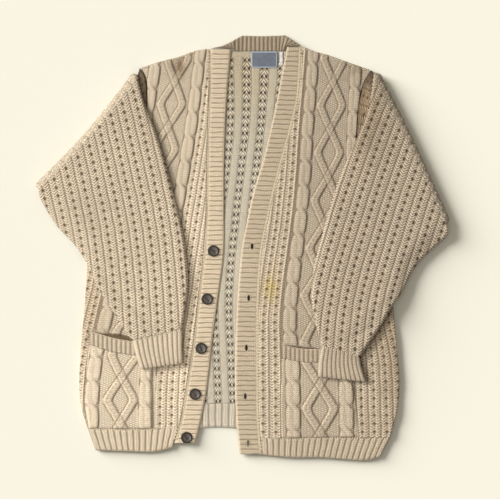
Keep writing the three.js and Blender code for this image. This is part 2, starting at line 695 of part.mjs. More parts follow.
function sleeve(side, sign) {
  const tube = new Sleeve(side, sign);
  const { last } = tube;
  const skin = new Skin();
  const below = [-2, -1, -0.75, -0.5, -0.25, 0];
  const above = [0.5, ...tube.rows.keys()].filter((along) => along > 0);
  const full = tube.ribWidth(0);

  // A rib column stays at one distance from the inner edge, and runs out where the sleeve narrows.
  const columns = sleeveRibs(full).map(({ place, height }) => {
    const open = place < tube.ribWidth(last);
    const clear = above.filter((along) => tube.ribWidth(along) - place > TUBE.round);
    const tail = [1, 0.3, 0].map((part) => place + part * TUBE.round)
      .filter((width) => width < full && width > tube.ribWidth(last))
      .map((width) => placeOf(tube.rows, 'ribs', width));
    const stops = [...below, ...clear.filter((along) => along < last), ...tail, ...(open ? [last] : [])];
    const at = (along) => tube.point(along, Math.min(place / tube.ribWidth(along), 1), 1, 0, height);
    return { open, points: skin.add(stops.map(at)) };
  });
  const reaching = columns.filter(({ open }) => open);
  const ending = columns.filter(({ open }) => !open).map(({ points }) => points);
  const corner = skin.add([tube.point(last, 1, 1)])[0];
  const outerEdge = skin.add(below.map((along) => tube.point(along, 1, 1)));
  skin.strips([...reaching.map(({ points }) => points), [...ending[0], corner]]);
  skin.strips([...ending, outerEdge]);
  const outline = [...outerEdge, ...ending.map((points) => points.at(-1)).reverse(), corner];

  // The plain face below, with a column at each corner of the armhole.
  const coarse = [-2, -1, -0.5, ...tube.rows.keys()];
  const corners = tube.armhole.slice(1, -1).map((_, i) => (i + 1) / (tube.armhole.length - 1));
  const near = (along) => (0.4 * TUBE.round) / tube.width(along);
  const places = [near, ...corners.map((across) => () => across), (along) => 1 - near(along)].reverse();
  const plain = places.map((at) => skin.add(coarse.map((along) => tube.point(along, at(along), -1))));
  skin.strips([outline, ...plain, columns[0].points]);

  // The inside of the tube.
  const fractions = [0, ...corners, 1];
  const insideColumn = (across, face) => (
    skin.add(coarse.map((along) => tube.point(along, across, face, WALL))));
  const inside = [
    ...fractions.map((across) => insideColumn(across, 1)),
    ...fractions.slice(1, -1).reverse().map((across) => insideColumn(across, -1)),
  ];
  skin.strips([...inside, inside[0]].reverse());

  const first = (column) => column[0];
  const final = (column) => column.at(-1);
  const pointsOf = (ribs) => ribs.map(({ points }) => points);
  tubeEnd(skin, [...pointsOf(columns), outerEdge, ...plain].map(first), inside.map(first));
  tubeEnd(skin, inside.map(final), [...pointsOf(reaching), outline, ...plain].map(final));
  return skin.geometry();
}

/** A cuff: the flattened tube goes on, ribbed all round. */
function cuff({ cuff: rows }) {
  const skin = new Skin();
  const widthOf = ({ inner, outer }) => Math.hypot(outer[0] - inner[0], outer[1] - inner[1]);
  const column = ({ across, relief }, face, inset) => skin.add(rows.map((row, along) => {
    const width = widthOf(row);
    const margin = inset / width;
    const [x, y] = row.inner.map((start, axis) => (
      lerp(start, row.outer[axis], lerp(margin, 1 - margin, across))));
    const round = rounding(Math.min(across, 1 - across) * (width - 2 * inset));
    const z = lift(row.raise) + TUBE.half + face * round * (TUBE.half - inset + relief);
    return { x, y, z, along, across, around: face > 0 ? across / 2 : 1 - across / 2 };
  }));
  const ribs = Math.round(widthOf(rows[1]) / RIB_PITCH.cuff);
  const places = [...Array(ribs).keys()].flatMap((k) => RIB_CORNERS.map(({ at, height }) => (
    { across: (k + at) / ribs, relief: (height - 0.5) * RIB })));
  const outer = [
    ...[...places, { across: 1, relief: 0 }].map((place) => column(place, 1, 0)),
    ...places.slice(1).reverse().map(({ across, relief }) => (
      column({ across, relief: Math.min(relief, 0) }, -1, 0))),
  ];
  const inside = [0, 0.12, 0.35, 0.65, 0.88, 1].map((across) => ({ across, relief: 0 }));
  const inner = [
    ...inside.map((place) => column(place, 1, WALL)),
    ...inside.slice(1, -1).reverse().map((place) => column(place, -1, WALL)),
  ];
  skin.strips([...outer, outer[0]]);
  skin.strips([...inner, inner[0]].reverse());
  tubeEnd(skin, outer.map(([first]) => first), inner.map(([first]) => first));
  tubeEnd(skin, inner.map((points) => points.at(-1)), outer.map((points) => points.at(-1)));
  return skin.geometry();
}

// ---------------------------------------------------------------- buttons and labels

/** A two-hole button: rounded underside, a raised rim round a shallow dish. */
function button() {
  const { radius, height, rim, dish, hole, holeOffset } = BUTTON;
  const profile = [
    [0, 0], [0.8 * radius, 0], [radius, 0.4 * height], [radius, 0.75 * height],
    [radius - 0.5 * rim, height], [radius - rim, height - dish], [0, height - dish],
  ].map(([x, y]) => new THREE.Vector2(x, y));
  const turned = solid(new THREE.LatheGeometry(profile, 18).rotateX(Math.PI / 2));
  const drill = new THREE.CylinderGeometry(hole, hole, 4 * height, 8).rotateX(Math.PI / 2);
  const drilled = [-1, 1].reduce((blank, side) => (
    blank.subtract(solid(drill.clone().translate(0, side * holeOffset, 0)))), turned);
  return geometryOf(drilled);
}

/** A flat woven rectangle with round lower corners. */
function tag({ x, y, width, height, thickness, corner }) {
  const shape = new THREE.Shape();
  shape.moveTo(-width / 2, height / 2);
  shape.lineTo(-width / 2, corner - height / 2);
  shape.quadraticCurveTo(-width / 2, -height / 2, corner - width / 2, -height / 2);
  shape.lineTo(width / 2 - corner, -height / 2);
  shape.quadraticCurveTo(width / 2, -height / 2, width / 2, corner - height / 2);
  shape.lineTo(width / 2, height / 2);
  const options = { depth: thickness, bevelEnabled: false, curveSegments: 4 };
  return new THREE.ExtrudeGeometry(shape, options).translate(x, y, FRONT_Z);
}

// ---------------------------------------------------------------- the cardigan

const cardigan = new THREE.Group();

function piece(name, geometry, { color, roughness, metalness }) {
  const material = new THREE.MeshStandardMaterial({ color, roughness, metalness });
  const mesh = new THREE.Mesh(geometry, material);
  mesh.name = name;
  cardigan.add(mesh);
  return mesh;
}

piece('back_panel', back(), WOOL);
piece('back_hem', hem(BACK.hemTop, BACK.hemFoot, BACK_Z), WOOL);
piece('neck_band', neckBand(), WOOL);
piece('right_band', band(RIGHT, -1), WOOL);
piece('left_band', buttonholeBand(), WOOL);

for (const [name, side, sign] of [['right', RIGHT, -1], ['left', LEFT, 1]]) {
  piece(`${name}_front`, front(side, sign), WOOL);
  piece(`${name}_front_hem`, hem(side.hemTop, side.hemFoot, FRONT_Z), WOOL);
  piece(`${name}_pocket`, pocket(side), WOOL);
  piece(`${name}_pocket_welt`, pocketWelt(side.pocket), WOOL);
  piece(`${name}_sleeve`, sleeve(side, sign), WOOL);
  piece(`${name}_cuff`, cuff(side), WOOL);
}

BUTTONS.forEach(([x, y], i) => {
  const mesh = piece(`button_${i + 1}`, button(), HORN);
  mesh.position.set(x, y, FRONT_Z + WALL + RIB + GAP);
  mesh.rotation.z = 0.35 - 0.4 * i;
});
piece('neck_label', tag(LABEL), LABEL_WEAVE);
piece('care_tag', tag(CARE_TAG), TAG_WEAVE);

export default cardigan;
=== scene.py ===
# %% [markdown]
# # A fisherman cardigan, laid flat
# A heavy cream wool cardigan lies on its back with both sleeves folded down over its fronts.
# The solids that hold its place and size come first. Every piece of knitting is then made again
# over its solid, with the cables, ribs and eyelets that the plain solids only hint at.

# %% Load the frame
import math

import bpy
import numpy as np
from mathutils import Matrix, Vector


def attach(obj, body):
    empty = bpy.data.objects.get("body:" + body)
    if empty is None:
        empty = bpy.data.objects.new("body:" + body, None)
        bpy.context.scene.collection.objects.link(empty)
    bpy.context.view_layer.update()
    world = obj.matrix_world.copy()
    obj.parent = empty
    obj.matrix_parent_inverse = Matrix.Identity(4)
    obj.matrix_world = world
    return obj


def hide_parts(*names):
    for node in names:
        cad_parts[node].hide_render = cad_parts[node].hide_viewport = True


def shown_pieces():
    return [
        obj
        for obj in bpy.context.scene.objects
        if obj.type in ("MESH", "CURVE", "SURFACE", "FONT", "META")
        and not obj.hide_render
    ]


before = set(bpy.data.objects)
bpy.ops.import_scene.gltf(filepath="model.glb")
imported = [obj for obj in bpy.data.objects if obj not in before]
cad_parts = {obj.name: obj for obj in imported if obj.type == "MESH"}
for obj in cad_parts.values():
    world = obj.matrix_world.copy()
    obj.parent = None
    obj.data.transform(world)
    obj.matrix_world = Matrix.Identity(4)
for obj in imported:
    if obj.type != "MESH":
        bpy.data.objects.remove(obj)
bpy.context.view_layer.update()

MM = 0.001

# %% [markdown]
# ## Smooth lines through a few points
# The edges of a garment are long soft curves. They could be drawn as Bezier curves by hand, but a
# short table of places with a smooth curve laid through them is easier to change, and the same
# curve can then be walked at an even pace, which is what ribs and stitches need.

# %% Curves
def curve(rows, places):
    """Values at places between the rows of a table, on a smooth curve through them."""
    table = np.asarray(rows, float)
    places = np.clip(np.asarray(places, float), 0, len(table) - 1)
    i = np.minimum(places.astype(int), len(table) - 2)
    f = (places - i)[..., None]
    a, b, c, d = (table[np.clip(i + k, 0, len(table) - 1)] for k in (-1, 0, 1, 2))
    return ((1 + 2 * f) * (1 - f) ** 2 * b + f * (1 - f) ** 2 * (c - a) / 2
            + f * f * (3 - 2 * f) * c + f * f * (f - 1) * (d - b) / 2)


def run_along(points):
    """How far along a line of points each point is."""
    steps = np.linalg.norm(np.diff(points, axis=0), axis=1)
    return np.concatenate([[0], np.cumsum(steps)])


def even(rows, count):
    """So many points at an even pace on the curve."""
    fine = curve(rows, np.linspace(0, len(rows) - 1, 30 * len(rows)))
    run = run_along(fine)
    stops = np.linspace(0, run[-1], count)
    return np.stack([np.interp(stops, run, fine[:, k]) for k in range(fine.shape[1])], axis=1)


def looked_up(rows, key, value, at):
    """A column of a table as a smooth function of another column, which rises."""
    names = list(rows[0])
    table = np.array([[row[name] for name in names] for row in rows], float)
    fine = curve(table, np.linspace(0, len(rows) - 1, 30 * len(rows)))
    order = np.argsort(fine[:, names.index(key)])
    return np.interp(at, fine[order, names.index(key)], fine[order, names.index(value)])


def smoothstep(value, low, high):
    t = np.clip((value - low) / (high - low), 0, 1)
    return t * t * (3 - 2 * t)


def arch(distance, half):
    """A round profile: 1 in the middle, 0 from `half` outwards."""
    return np.sqrt(np.clip(1 - (distance / half) ** 2, 0, 1))


def ripple(x, y, length, seed):
    """A slow wandering between -1 and 1, the same every time."""
    total = 0
    for k in range(4):
        angle = seed * 1.7 + k * 2.4
        wave = 2 * math.pi / (length * (0.7 + 0.25 * k))
        total = total + np.sin(wave * (x * math.cos(angle) + y * math.sin(angle)) + seed * 3.1 + k)
    return total / 4

# %% [markdown]
# ## Where the edges run
# All tables are in millimetres, seen from above, with the collar up and the wearer's left on the
# right. A band row gives its free edge and its seam at one height; a grain row gives the middle of
# the diamonds there and how far the knitting is stretched. A sleeve row crosses the folded sleeve:
# its inner end, its outer end, how far it is lifted onto the pocket (0 to 1) and how far its outer
# edge sinks. A row of the sleeve's grain is y and x of its middle wale.

# %% Tables of the two sides
RIGHT = dict(
    name="right", sign=-1,
    shoulder=[(-57.4, 346), (-80, 343), (-112, 332), (-146, 323), (-178, 313)],
    armhole=[(-178, 313), (-167, 292), (-165, 240), (-171, 180), (-192, 118), (-226, 70),
             (-266, 42)],
    side=[(-266, 42), (-270, -30), (-275, -105), (-281, -170), (-284, -225), (-282, -275),
          (-269, -318)],
    hem_top=[(-269, -318), (-190, -320), (-111.8, -316)],
    hem_foot=[(-256, -355), (-200, -357), (-156, -358), (-121.6, -350.5)],
    free=[(-19, 345.6), (-24.5, 285), (-29, 215), (-31, 140), (-31, 60), (-32, -15), (-42, -90),
          (-52, -165), (-60, -240), (-71, -300), (-82, -343)],
    seam=[(-57, 345.6), (-57.5, 285), (-60, 215), (-62, 140), (-63, 60), (-68, -15), (-77, -90),
          (-85, -165), (-97, -240), (-107, -300), (-118.5, -343)],
    grain=[dict(y=-400, centre=-212, stretch=1.12), dict(y=-227, centre=-210, stretch=1.12),
           dict(y=-60, centre=-180, stretch=1.05), dict(y=100, centre=-149, stretch=0.98),
           dict(y=212, centre=-129, stretch=0.95), dict(y=330, centre=-112, stretch=0.9),
           dict(y=400, centre=-104, stretch=0.9)],
    diamonds=dict(front=290, pocket=-227, pitch=80), pocket_cables=(-44.6, 38.4),
    mouth=[(-266, -146), (-228, -158), (-194, -164), (-153, -166)], welt=24,
    pocket_right=[(-153, -166), (-157, -225), (-156, -270), (-155, -317)],
    pocket_left=[(-266, -146), (-272, -205), (-276, -260), (-268, -317)],
    fold=dict(start=(-182, 299), stop=(-355, 101), bow=-7),
    sleeve_grain=[(-260, -158), (-140, -163), (-40, -170), (40, -180), (115, -195), (250, -226),
                  (330, -250)],
    sleeve=[(-182, 299, -355, 101, 0, 0), (-171, 255, -350, 80, 0, 3), (-150, 200, -322, 35, 0, 7),
            (-131, 138, -293, 4, 0, 7), (-115, 76, -270, -30, 0, 1), (-100, 8, -248, -77, 0.1, 0),
            (-94, -68, -222, -117, 0.5, 0), (-104, -143, -193, -162, 1, 0)],
    cuff=[(-104, -144, -191, -163), (-104, -178, -185, -189), (-103, -203, -177, -213)],
)
LEFT = dict(
    name="left", sign=1,
    shoulder=[(104.4, 351), (126, 342), (152, 335), (190, 321), (226, 309)],
    armhole=[(226, 309), (211, 282), (203, 240), (200, 190), (208, 125), (230, 66), (260, 28)],
    side=[(260, 28), (262, -50), (265, -115), (270, -170), (275, -232), (271, -285), (258, -334)],
    hem_top=[(258, -334), (160, -333.4), (86, -335), (33.2, -334)],
    hem_foot=[(241, -367), (210, -373), (136, -368), (86, -368), (35.8, -363)],
    free=[(79, 350), (69, 300), (61, 257), (49.5, 205), (37, 152), (21, 100), (9, 47), (0, 0),
          (-5, -50), (-10, -130), (-12, -230), (-10, -300), (-4, -362)],
    seam=[(104, 350), (102, 300), (98, 257), (86, 205), (71, 152), (57.5, 100), (46, 47),
          (36.5, 0), (32, -50), (29, -130), (29, -230), (30, -300), (35, -362)],
    grain=[dict(y=-400, centre=138, stretch=1.19), dict(y=-210, centre=135, stretch=1.17),
           dict(y=-126, centre=129, stretch=1.09), dict(y=-50, centre=134, stretch=1.05),
           dict(y=38, centre=143, stretch=1.0), dict(y=121, centre=150, stretch=0.97),
           dict(y=206, centre=154, stretch=0.94), dict(y=330, centre=162, stretch=0.9),
           dict(y=400, centre=166, stretch=0.9)],
    diamonds=dict(front=289, pocket=-241, pitch=83), pocket_cables=(-40, 38.4),
    mouth=[(70, -170), (102, -177), (140, -178.5), (196, -180)], welt=23,
    pocket_right=[(196, -180), (196, -230), (202, -290), (207, -331.8)],
    pocket_left=[(70, -170), (68, -230), (67, -285), (69, -334)],
    fold=dict(start=(230, 302), stop=(355, 39), bow=3),
    sleeve_grain=[(-260, 158), (-150, 166), (-90, 174), (-40, 186), (30, 207), (112, 233),
                  (220, 272), (330, 318)],
    sleeve=[(230, 302, 355, 39, 0, 0), (220, 238, 360, 22, 0, 3), (199, 187, 340, 2, 0, 7),
            (178, 140, 313, -23, 0, 7), (161, 95, 295, -48, 0, 6), (141, 25, 281, -78, 0, 3),
            (124, -45, 262, -105, 0.2, 0), (122, -100, 240, -141, 0.65, 0),
            (138, -172, 207, -190, 1, 0)],
    cuff=[(139, -173, 205, -190), (134, -200, 208, -209), (132, -226, 216, -235)],
)
BACK = dict(
    neck=342.4,
    hem_top=[(-269, -318), (-190, -294), (-74, -276), (0, -275), (110, -292), (200, -316),
             (258, -334)],
    hem_foot=[(-256, -355), (-185, -334), (-74, -317), (-8, -317), (110, -333), (195, -355),
              (241, -367)],
)
SIDES = (RIGHT, LEFT)
for side in SIDES:
    print(side["name"], "seam: from y", side["seam"][0][1], "to", side["seam"][-1][1], "mm")

# %% [markdown]
# ## Heights of the layers
# Four layers of cloth lie on each other. The numbers are those of the solids: each layer starts
# just above the highest relief of the one below, so nothing passes through anything else.

# %% Layers
WALL = 2.6
GAP = 0.35
BACK_RELIEF, CABLE_RELIEF = 1.0, 2.8
FRONT = WALL + BACK_RELIEF + GAP
POCKET = FRONT + WALL + GAP
OVER_FRONT = FRONT + WALL + CABLE_RELIEF + 2 * GAP
OVER_POCKET = POCKET + WALL + CABLE_RELIEF + 2 * GAP
print("layers start at 0", *(round(v, 2) for v in (FRONT, POCKET, OVER_FRONT, OVER_POCKET)), "mm")

# %% [markdown]
# ## Turning points into cloth
# Cloth could be a plane with a Solidify modifier, but knitting needs its points to run with the
# wales, and its edges need to stay exactly on their lines. So each piece is laid out as a grid of
# points, its relief is worked out as a height for every point, and the grid is closed with a rim
# and an under face. The map called "knit" carries the place on the cloth in millimetres: across
# the wales and along them. Attributes go with it: "cavity" is 1 down in a groove or an eyelet,
# "purl" is 1 where the ground is purled, "plain" where a ribbed cloth has no ribs, and "hollow"
# down in an armhole. Where "cavity" and "hollow" are high, the material paints shade.

# %% Making a cloth mesh
def new_object(name, mesh):
    made = bpy.data.objects.new(name, mesh)
    bpy.context.scene.collection.objects.link(made)
    return made


def mark(mesh, label, values):
    """Writes a number for every point of a mesh, for its material or its geometry tree to read."""
    filled = np.broadcast_to(values, (len(mesh.vertices),)).astype(np.float32)
    mesh.attributes.new(label, "FLOAT", "POINT").data.foreach_set("value", filled)


def cloth_object(name, points, quads, knit, marks, flat_faces=()):
    """A piece of cloth, smooth but for its flat faces."""
    mesh = bpy.data.meshes.new(name)
    faces = quads.tolist() + [list(face) for face in flat_faces]
    mesh.from_pydata((points * MM).tolist(), [], faces)
    smooth = np.ones(len(mesh.polygons), dtype=bool)
    smooth[len(quads):] = False
    mesh.polygons.foreach_set("use_smooth", smooth)
    corners = np.empty(len(mesh.loops), dtype=np.int32)
    mesh.loops.foreach_get("vertex_index", corners)
    places = knit[corners].astype(np.float32).ravel()
    mesh.uv_layers.new(name="knit").data.foreach_set("uv", places)
    for label, values in {"cavity": 0.0, "purl": 0.0, **marks}.items():
        mark(mesh, label, values)
    print(f"{name}: {len(mesh.polygons)} faces")
    return new_object(name, mesh)

# %% Grids and their edges
def grid_quads(rows, columns):
    """The quads of a grid of points numbered row by row, facing up if rows climb in Y."""
    a = (np.arange(rows - 1)[:, None] * columns + np.arange(columns - 1)).ravel()
    return np.stack([a, a + 1, a + columns + 1, a + columns], axis=1)


def boundary_edges(quads):
    """The directed edges that only one quad uses."""
    edges = np.concatenate([quads[:, [k, (k + 1) % 4]] for k in range(4)])
    size = int(quads.max()) + 1
    forward, backward = edges[:, 0] * size + edges[:, 1], edges[:, 1] * size + edges[:, 0]
    return edges[~np.isin(forward, backward)]


def loop_of(edges):
    """The longest closed walk through the directed edges."""
    onward = {int(a): int(b) for a, b in edges}
    loops = []
    while onward:
        first, at = onward.popitem()
        walk = [first]
        while at != first:
            walk.append(at)
            at = onward.pop(at)
        loops.append(walk)
    return max(loops, key=len)


print("edge of a grid of 3 by 4 points:", loop_of(boundary_edges(grid_quads(3, 4))))

# %% [markdown]
# A sheet of wool has a thickness, so its edge is joined to an under face. Under a front, which
# nobody sees, one flat face is enough. A strip gets a copy of its own grid, so that it can bend.

# %% Closing a sheet
def closed_sheet(name, points, quads, under, knit, marks, plain_below=True):
    """Gives a sheet a rim and an under face: one flat face, or a copy of the upper grid."""
    used, quads = np.unique(quads, return_inverse=True)
    quads = quads.reshape(-1, 4)
    count = len(used)
    edges = boundary_edges(quads)
    if plain_below:
        source = np.array(loop_of(edges))
        low = count + np.arange(len(source))
        rest = np.stack([low, np.roll(low, -1), np.roll(source, -1), source], axis=1)
        flat_faces = [low[::-1]]
    else:
        source = np.arange(count)
        rim = np.concatenate([edges + count, edges[:, ::-1]], axis=1)
        rest = np.concatenate([rim, quads[:, ::-1] + count])
        flat_faces = []
    both = used[np.concatenate([np.arange(count), source])]
    points = points[both]
    points[count:, 2] = under[used] if np.ndim(under) else under
    marks = {label: values[both] for label, values in marks.items()}
    return cloth_object(name, points, np.concatenate([quads, rest]), knit[both], marks, flat_faces)

# %% [markdown]
# ## Cutting a grid to an outline
# A front has curved sides, but its wales run straight. A boolean cut would leave slivers along the
# edge. Instead the grid covers the whole front, the quads that reach outside are dropped, and the
# points left along the edge are moved onto the outline, so that every quad stays whole.

# %% Cutting
def is_inside(x, y, outline):
    inside = np.zeros(x.shape, bool)
    for (x0, y0), (x1, y1) in zip(outline, np.roll(outline, -1, axis=0)):
        if y0 != y1:
            crosses = (y0 > y) != (y1 > y)
            inside ^= crosses & (x < (x1 - x0) * (y - y0) / (y1 - y0) + x0)
    return inside


def onto_outline(points, outline):
    """The nearest place on the outline to each point, and how far away it is."""
    start, end = np.asarray(outline), np.roll(outline, -1, axis=0)
    span = end - start
    best, nearest = np.full(len(points), np.inf), np.zeros((len(points), 2))
    for a, s in zip(start, span):
        t = np.clip(((points - a) @ s) / max(s @ s, 1e-9), 0, 1)
        place = a + t[:, None] * s
        away = np.linalg.norm(points - place, axis=1)
        closer = away < best
        best[closer], nearest[closer] = away[closer], place[closer]
    return nearest, best


def cut_grid(x, y, outline):
    """The points of a grid, its edge moved onto the outline, and the quads that lie inside it."""
    quads = grid_quads(*x.shape)
    quads = quads[is_inside(x, y, outline).ravel()[quads].all(axis=1)]
    while True:
        edges = boundary_edges(quads)
        starts, times = np.unique(edges[:, 0], return_counts=True)
        pinched = starts[times > 1]
        if len(pinched) == 0:
            break
        quads = quads[~np.isin(quads, pinched).any(axis=1)]
    flat = np.stack([x.ravel(), y.ravel()], axis=1)
    rim = np.unique(edges)
    flat[rim], _ = onto_outline(flat[rim], outline)
    return flat, quads

# %% [markdown]
# ## The stitch patterns as heights
# On the real cardigan a rope cable is two groups of stitches that keep crossing, always the same
# way. Modelling two twisted tubes would work, but they would have to be joined to the ground.
# Here each strand is a height across the cloth instead, and the higher strand wins, which gives
# the rope, its crossings and its grooves in one sheet.

# %% Rope cable
STITCH, ROW = 4.3, 3.7


def braid(y, away):
    """The V stitches up a strand, between 0 and 1."""
    return 0.5 + 0.5 * np.sin(2 * math.pi * (y / (1.7 * ROW) - away / (2 * STITCH)))


def rope(d, y):
    """Height and shade of a rope cable: d across from its middle, y up along it."""
    crossing, swing, half, height = 42.7, 4.9, 5.9, 3.4
    angle = math.pi * y / crossing
    beside = np.tanh(2.6 * np.cos(angle)) / math.tanh(2.6)
    at_crossing = np.exp(-(np.cos(angle) / 0.42) ** 2)
    over = np.sin(angle) > 0
    wide = half * (1 + 0.06 * (1 - 2 * at_crossing))
    strands, edges = [], []
    for turn in (1, -1):
        on_top = over if turn > 0 else ~over
        away = np.abs(d - turn * swing * beside) / wide
        body = arch(away, 1.0) ** 0.75 * (1 - 0.10 * (1 - braid(y, away * wide)))
        strands.append(body * (1 - 0.55 * at_crossing * ~on_top))
        edges.append(np.exp(-((away - 1.0) / 0.16) ** 2) * at_crossing * on_top)
    top, low = np.maximum(*strands), np.minimum(*strands)
    rim = swing + half - 1.3 * at_crossing
    inside = np.abs(d) < rim
    valley = np.exp(-((top - low) / 0.12) ** 2) * (1 - at_crossing) * inside
    foot = np.exp(-((np.abs(d) - rim - 0.4) / 1.25) ** 2)
    shade = np.maximum(0.75 * np.maximum(*edges) * inside, np.maximum(0.3 * valley, 0.85 * foot))
    return height * top, shade


print("rope cable:", round(rope(np.zeros(40), np.arange(40.0))[0].max(), 2), "mm high")

# %% [markdown]
# The diamonds are two narrow bands that wander from side to side and cross each other. The band
# that runs down to the right passes over. Inside and outside the diamonds the ground is purled.

# %% Diamond lattice
def lattice(p, y, crossing, pitch):
    """Height and shade of the diamonds: p across from their middle, y up along them."""
    reach, half, height = 20.0, 6.2, 3.1
    slope = math.cos(math.atan(4 * reach / (2 * pitch)))
    best, shade = 0, 0
    for strand in (0, 1):
        turn = ((crossing - y) / (2 * pitch) + strand / 2 + 0.25) % 1
        bent = 1 - 4 * np.abs(turn - 0.5)
        middle = reach * np.sign(bent) * (1 - np.sqrt((1 - np.abs(bent)) ** 2 + 0.01)) / 0.9
        going_under = (turn > 0.5) * np.exp(-(middle / 5.5) ** 2)
        d = (p - middle) * slope
        stitched = braid(y, np.abs(d))
        body = np.clip(1.2 * arch(d, half), 0, 1) * (1 - 0.16 * np.exp(-(d / 1.3) ** 2))
        body = body * (1 - 0.24 * (1 - stitched))
        best = np.maximum(best, height * (1 - 0.55 * going_under) * body)
        beside = np.abs(d) - half
        line = (0.75 * np.exp(-((beside - 0.8) / 0.9) ** 2)
                + 0.2 * np.exp(-np.maximum(beside, 0) / 2.5) * (beside > 0))
        throats = 0.38 * (1 - stitched) * np.exp(-(d / 4.5) ** 4) * (1 - going_under)
        shade = np.maximum(shade, np.maximum(line, throats))
    return best, shade


across = np.linspace(-30, 30, 61)
print("diamond wall:", round(lattice(across, across, 0.0, 57.0)[0].max(), 2), "mm high")

# %% [markdown]
# The rest of the body and the whole of each sleeve are pairs of ribs. Between one pair and the
# next runs a column of eyelets, and the two ribs of a pair are parted by a narrow groove.

# %% Eyelet ribs
EYELET_STEP, STITCHES_A_STEP = 14.7, 3


def eyelet_ribs(place, y, repeat, first):
    """Height of the ribs: place across, with an eyelet column at `first`."""
    turn = (place - first) / repeat
    from_eyelets = (turn - np.round(turn)) * repeat
    from_groove = (turn - np.floor(turn) - 0.5) * repeat
    nearest = np.minimum(np.abs(from_eyelets), np.abs(from_groove))
    rib = arch(nearest - repeat / 4, repeat / 4 + 0.3)
    beside = (y / EYELET_STEP - np.round(y / EYELET_STEP)) * EYELET_STEP
    hole = np.exp(-((from_eyelets / 2.2) ** 2 + (beside / 2.6) ** 2) ** 1.5)
    bridge = np.exp(-(from_eyelets / 2.4) ** 2) * (1 - hole)
    return 2.0 * np.maximum(rib, 0.5 * bridge) - 1.6 * hole


print("heights from an eyelet on:", eyelet_ribs(np.arange(0, 18, 3), 0.0, 18.0, 0).round(1), "mm")

# %% [markdown]
# ## Wool
# Real yarn shows on two scales: the stitches themselves, about 4.3 mm wide and 3.7 mm tall, and
# the fuzz on them. Modelling each stitch would take millions of faces, so the stitches are a bump
# worked out from the "knit" map, which follows the cloth wherever it bends, and the shade between
# them is painted into the colour. Grooves and eyelets get a painted brown shade as well, because
# hardly any light finds its way out of thick wool.
#
# A formula in a material is a chain of Math nodes. The small class below lets such a chain be
# written as a plain formula, which is far easier to read than a list of nodes and links.

# %% Nodes made short
def add(tree, kind, inputs=None, **settings):
    """A new node with its settings and its inputs, which are values or links."""
    made = tree.nodes.new(kind)
    for key, value in settings.items():
        setattr(made, key, value)
    for key, value in (inputs or {}).items():
        value = value.socket if isinstance(value, Field) else value
        if isinstance(value, bpy.types.NodeSocket):
            tree.links.new(value, made.inputs[key])
        else:
            made.inputs[key].default_value = value
    return made


class Field:
    """A number at every point of a surface, which adds and multiplies like a plain number."""

    def __init__(self, socket):
        self.socket = socket

    def __add__(self, other):
        return maths("ADD", self, other)

    def __sub__(self, other):
        return maths("SUBTRACT", self, other)

    def __rsub__(self, other):
        return maths("SUBTRACT", other, self)

    def __mul__(self, other):
        return maths("MULTIPLY", self, other)

    def __truediv__(self, other):
        return maths("DIVIDE", self, other)

    def __abs__(self):
        return maths("ABSOLUTE", self)


def maths(operation, *values):
    tree = next(value.socket.id_data for value in values if isinstance(value, Field))
    made = add(tree, "ShaderNodeMath", dict(enumerate(values)), operation=operation)
    return Field(made.outputs[0])


def most(first, *others):
    """The highest of several fields."""
    for other in others:
        first = maths("MAXIMUM", first, other)
    return first


def bell(distance, width):
    """1 where the distance is 0, falling to 0 at about twice the width."""
    ratio = distance / width
    return maths("POWER", math.e, ratio * ratio * -1.0)


def sharper(value, gain):
    """A flat-topped version of a bell: multiplied and held below 1."""
    return maths("MINIMUM", value * gain, 1.0)


def hump(value):
    """A wave between 0 and 1, once for each whole number."""
    return maths("SINE", value * (2 * math.pi)) * 0.5 + 0.5

# %% [markdown]
# Every material here is one Principled shader with a colour and a bump. These helpers mix and
# light colours, and link both to the shader. A number that is the same all over a material is set
# on the shader itself.

# %% Materials made short
def mixed(amount, a, b, blend="MIX"):
    """Colour a, going to colour b by the amount."""
    colour = lambda value: value if isinstance(value, bpy.types.NodeSocket) else (*value, 1)
    return add(amount.socket.id_data, "ShaderNodeMix", {0: amount, 6: colour(a), 7: colour(b)},
               data_type="RGBA", blend_type=blend).outputs[2]


def lit(colour, light):
    """A colour made lighter or darker by a field."""
    return add(light.socket.id_data, "ShaderNodeVectorMath", {0: colour, "Scale": light},
               operation="SCALE").outputs[0]


def noise(place, scale, detail=2.0):
    return Field(add(place.id_data, "ShaderNodeTexNoise", {
        "Vector": place, "Scale": scale, "Detail": detail}).outputs[0])


def attribute(tree, label):
    return Field(add(tree, "ShaderNodeAttribute", attribute_name=label).outputs["Fac"])


SHADER_INPUTS = dict(colour="Base Color", roughness="Roughness", specular="Specular IOR Level",
                     sheen="Sheen Weight", sheen_roughness="Sheen Roughness")


def new_material(name, **numbers):
    """A material with these numbers on its shader, and the place on the object."""
    material = bpy.data.materials.new(name)
    material.use_nodes = True
    shader = material.node_tree.nodes["Principled BSDF"]
    for label, value in numbers.items():
        shader.inputs[SHADER_INPUTS[label]].default_value = value
    return material, add(material.node_tree, "ShaderNodeTexCoord").outputs["Object"]


def painted(material, colour, height, strength, deep):
    """Links a colour, and a bump so many mm deep, to the material's shader."""
    tree = material.node_tree
    shader = tree.nodes["Principled BSDF"]
    bump = add(tree, "ShaderNodeBump", {
        "Strength": strength, "Distance": deep * MM, "Height": height})
    tree.links.new(colour, shader.inputs["Base Color"])
    tree.links.new(bump.outputs[0], shader.inputs["Normal"])
    return material

# %% Stitches
def across_lines(value, step, first=0.0):
    """The signed distance to the nearest of a row of lines, `step` apart."""
    turn = (value - first) / step
    return (turn - maths("ROUND", turn)) * step


def stitch_height(u, v, purl):
    """Plain stitches as rows of V, purled ones as a fine diagonal grain."""
    side = abs(across_lines(u, STITCH) / STITCH)
    leg = maths("SINE", side * (2 * math.pi))
    plain = maths("POWER", leg, 0.5) * hump(v / ROW + side * 1.6)
    lean, across = v / ROW, u / (2 * STITCH)
    purled = hump(lean + across) * hump(lean - across)
    return (purled - plain) * purl + plain


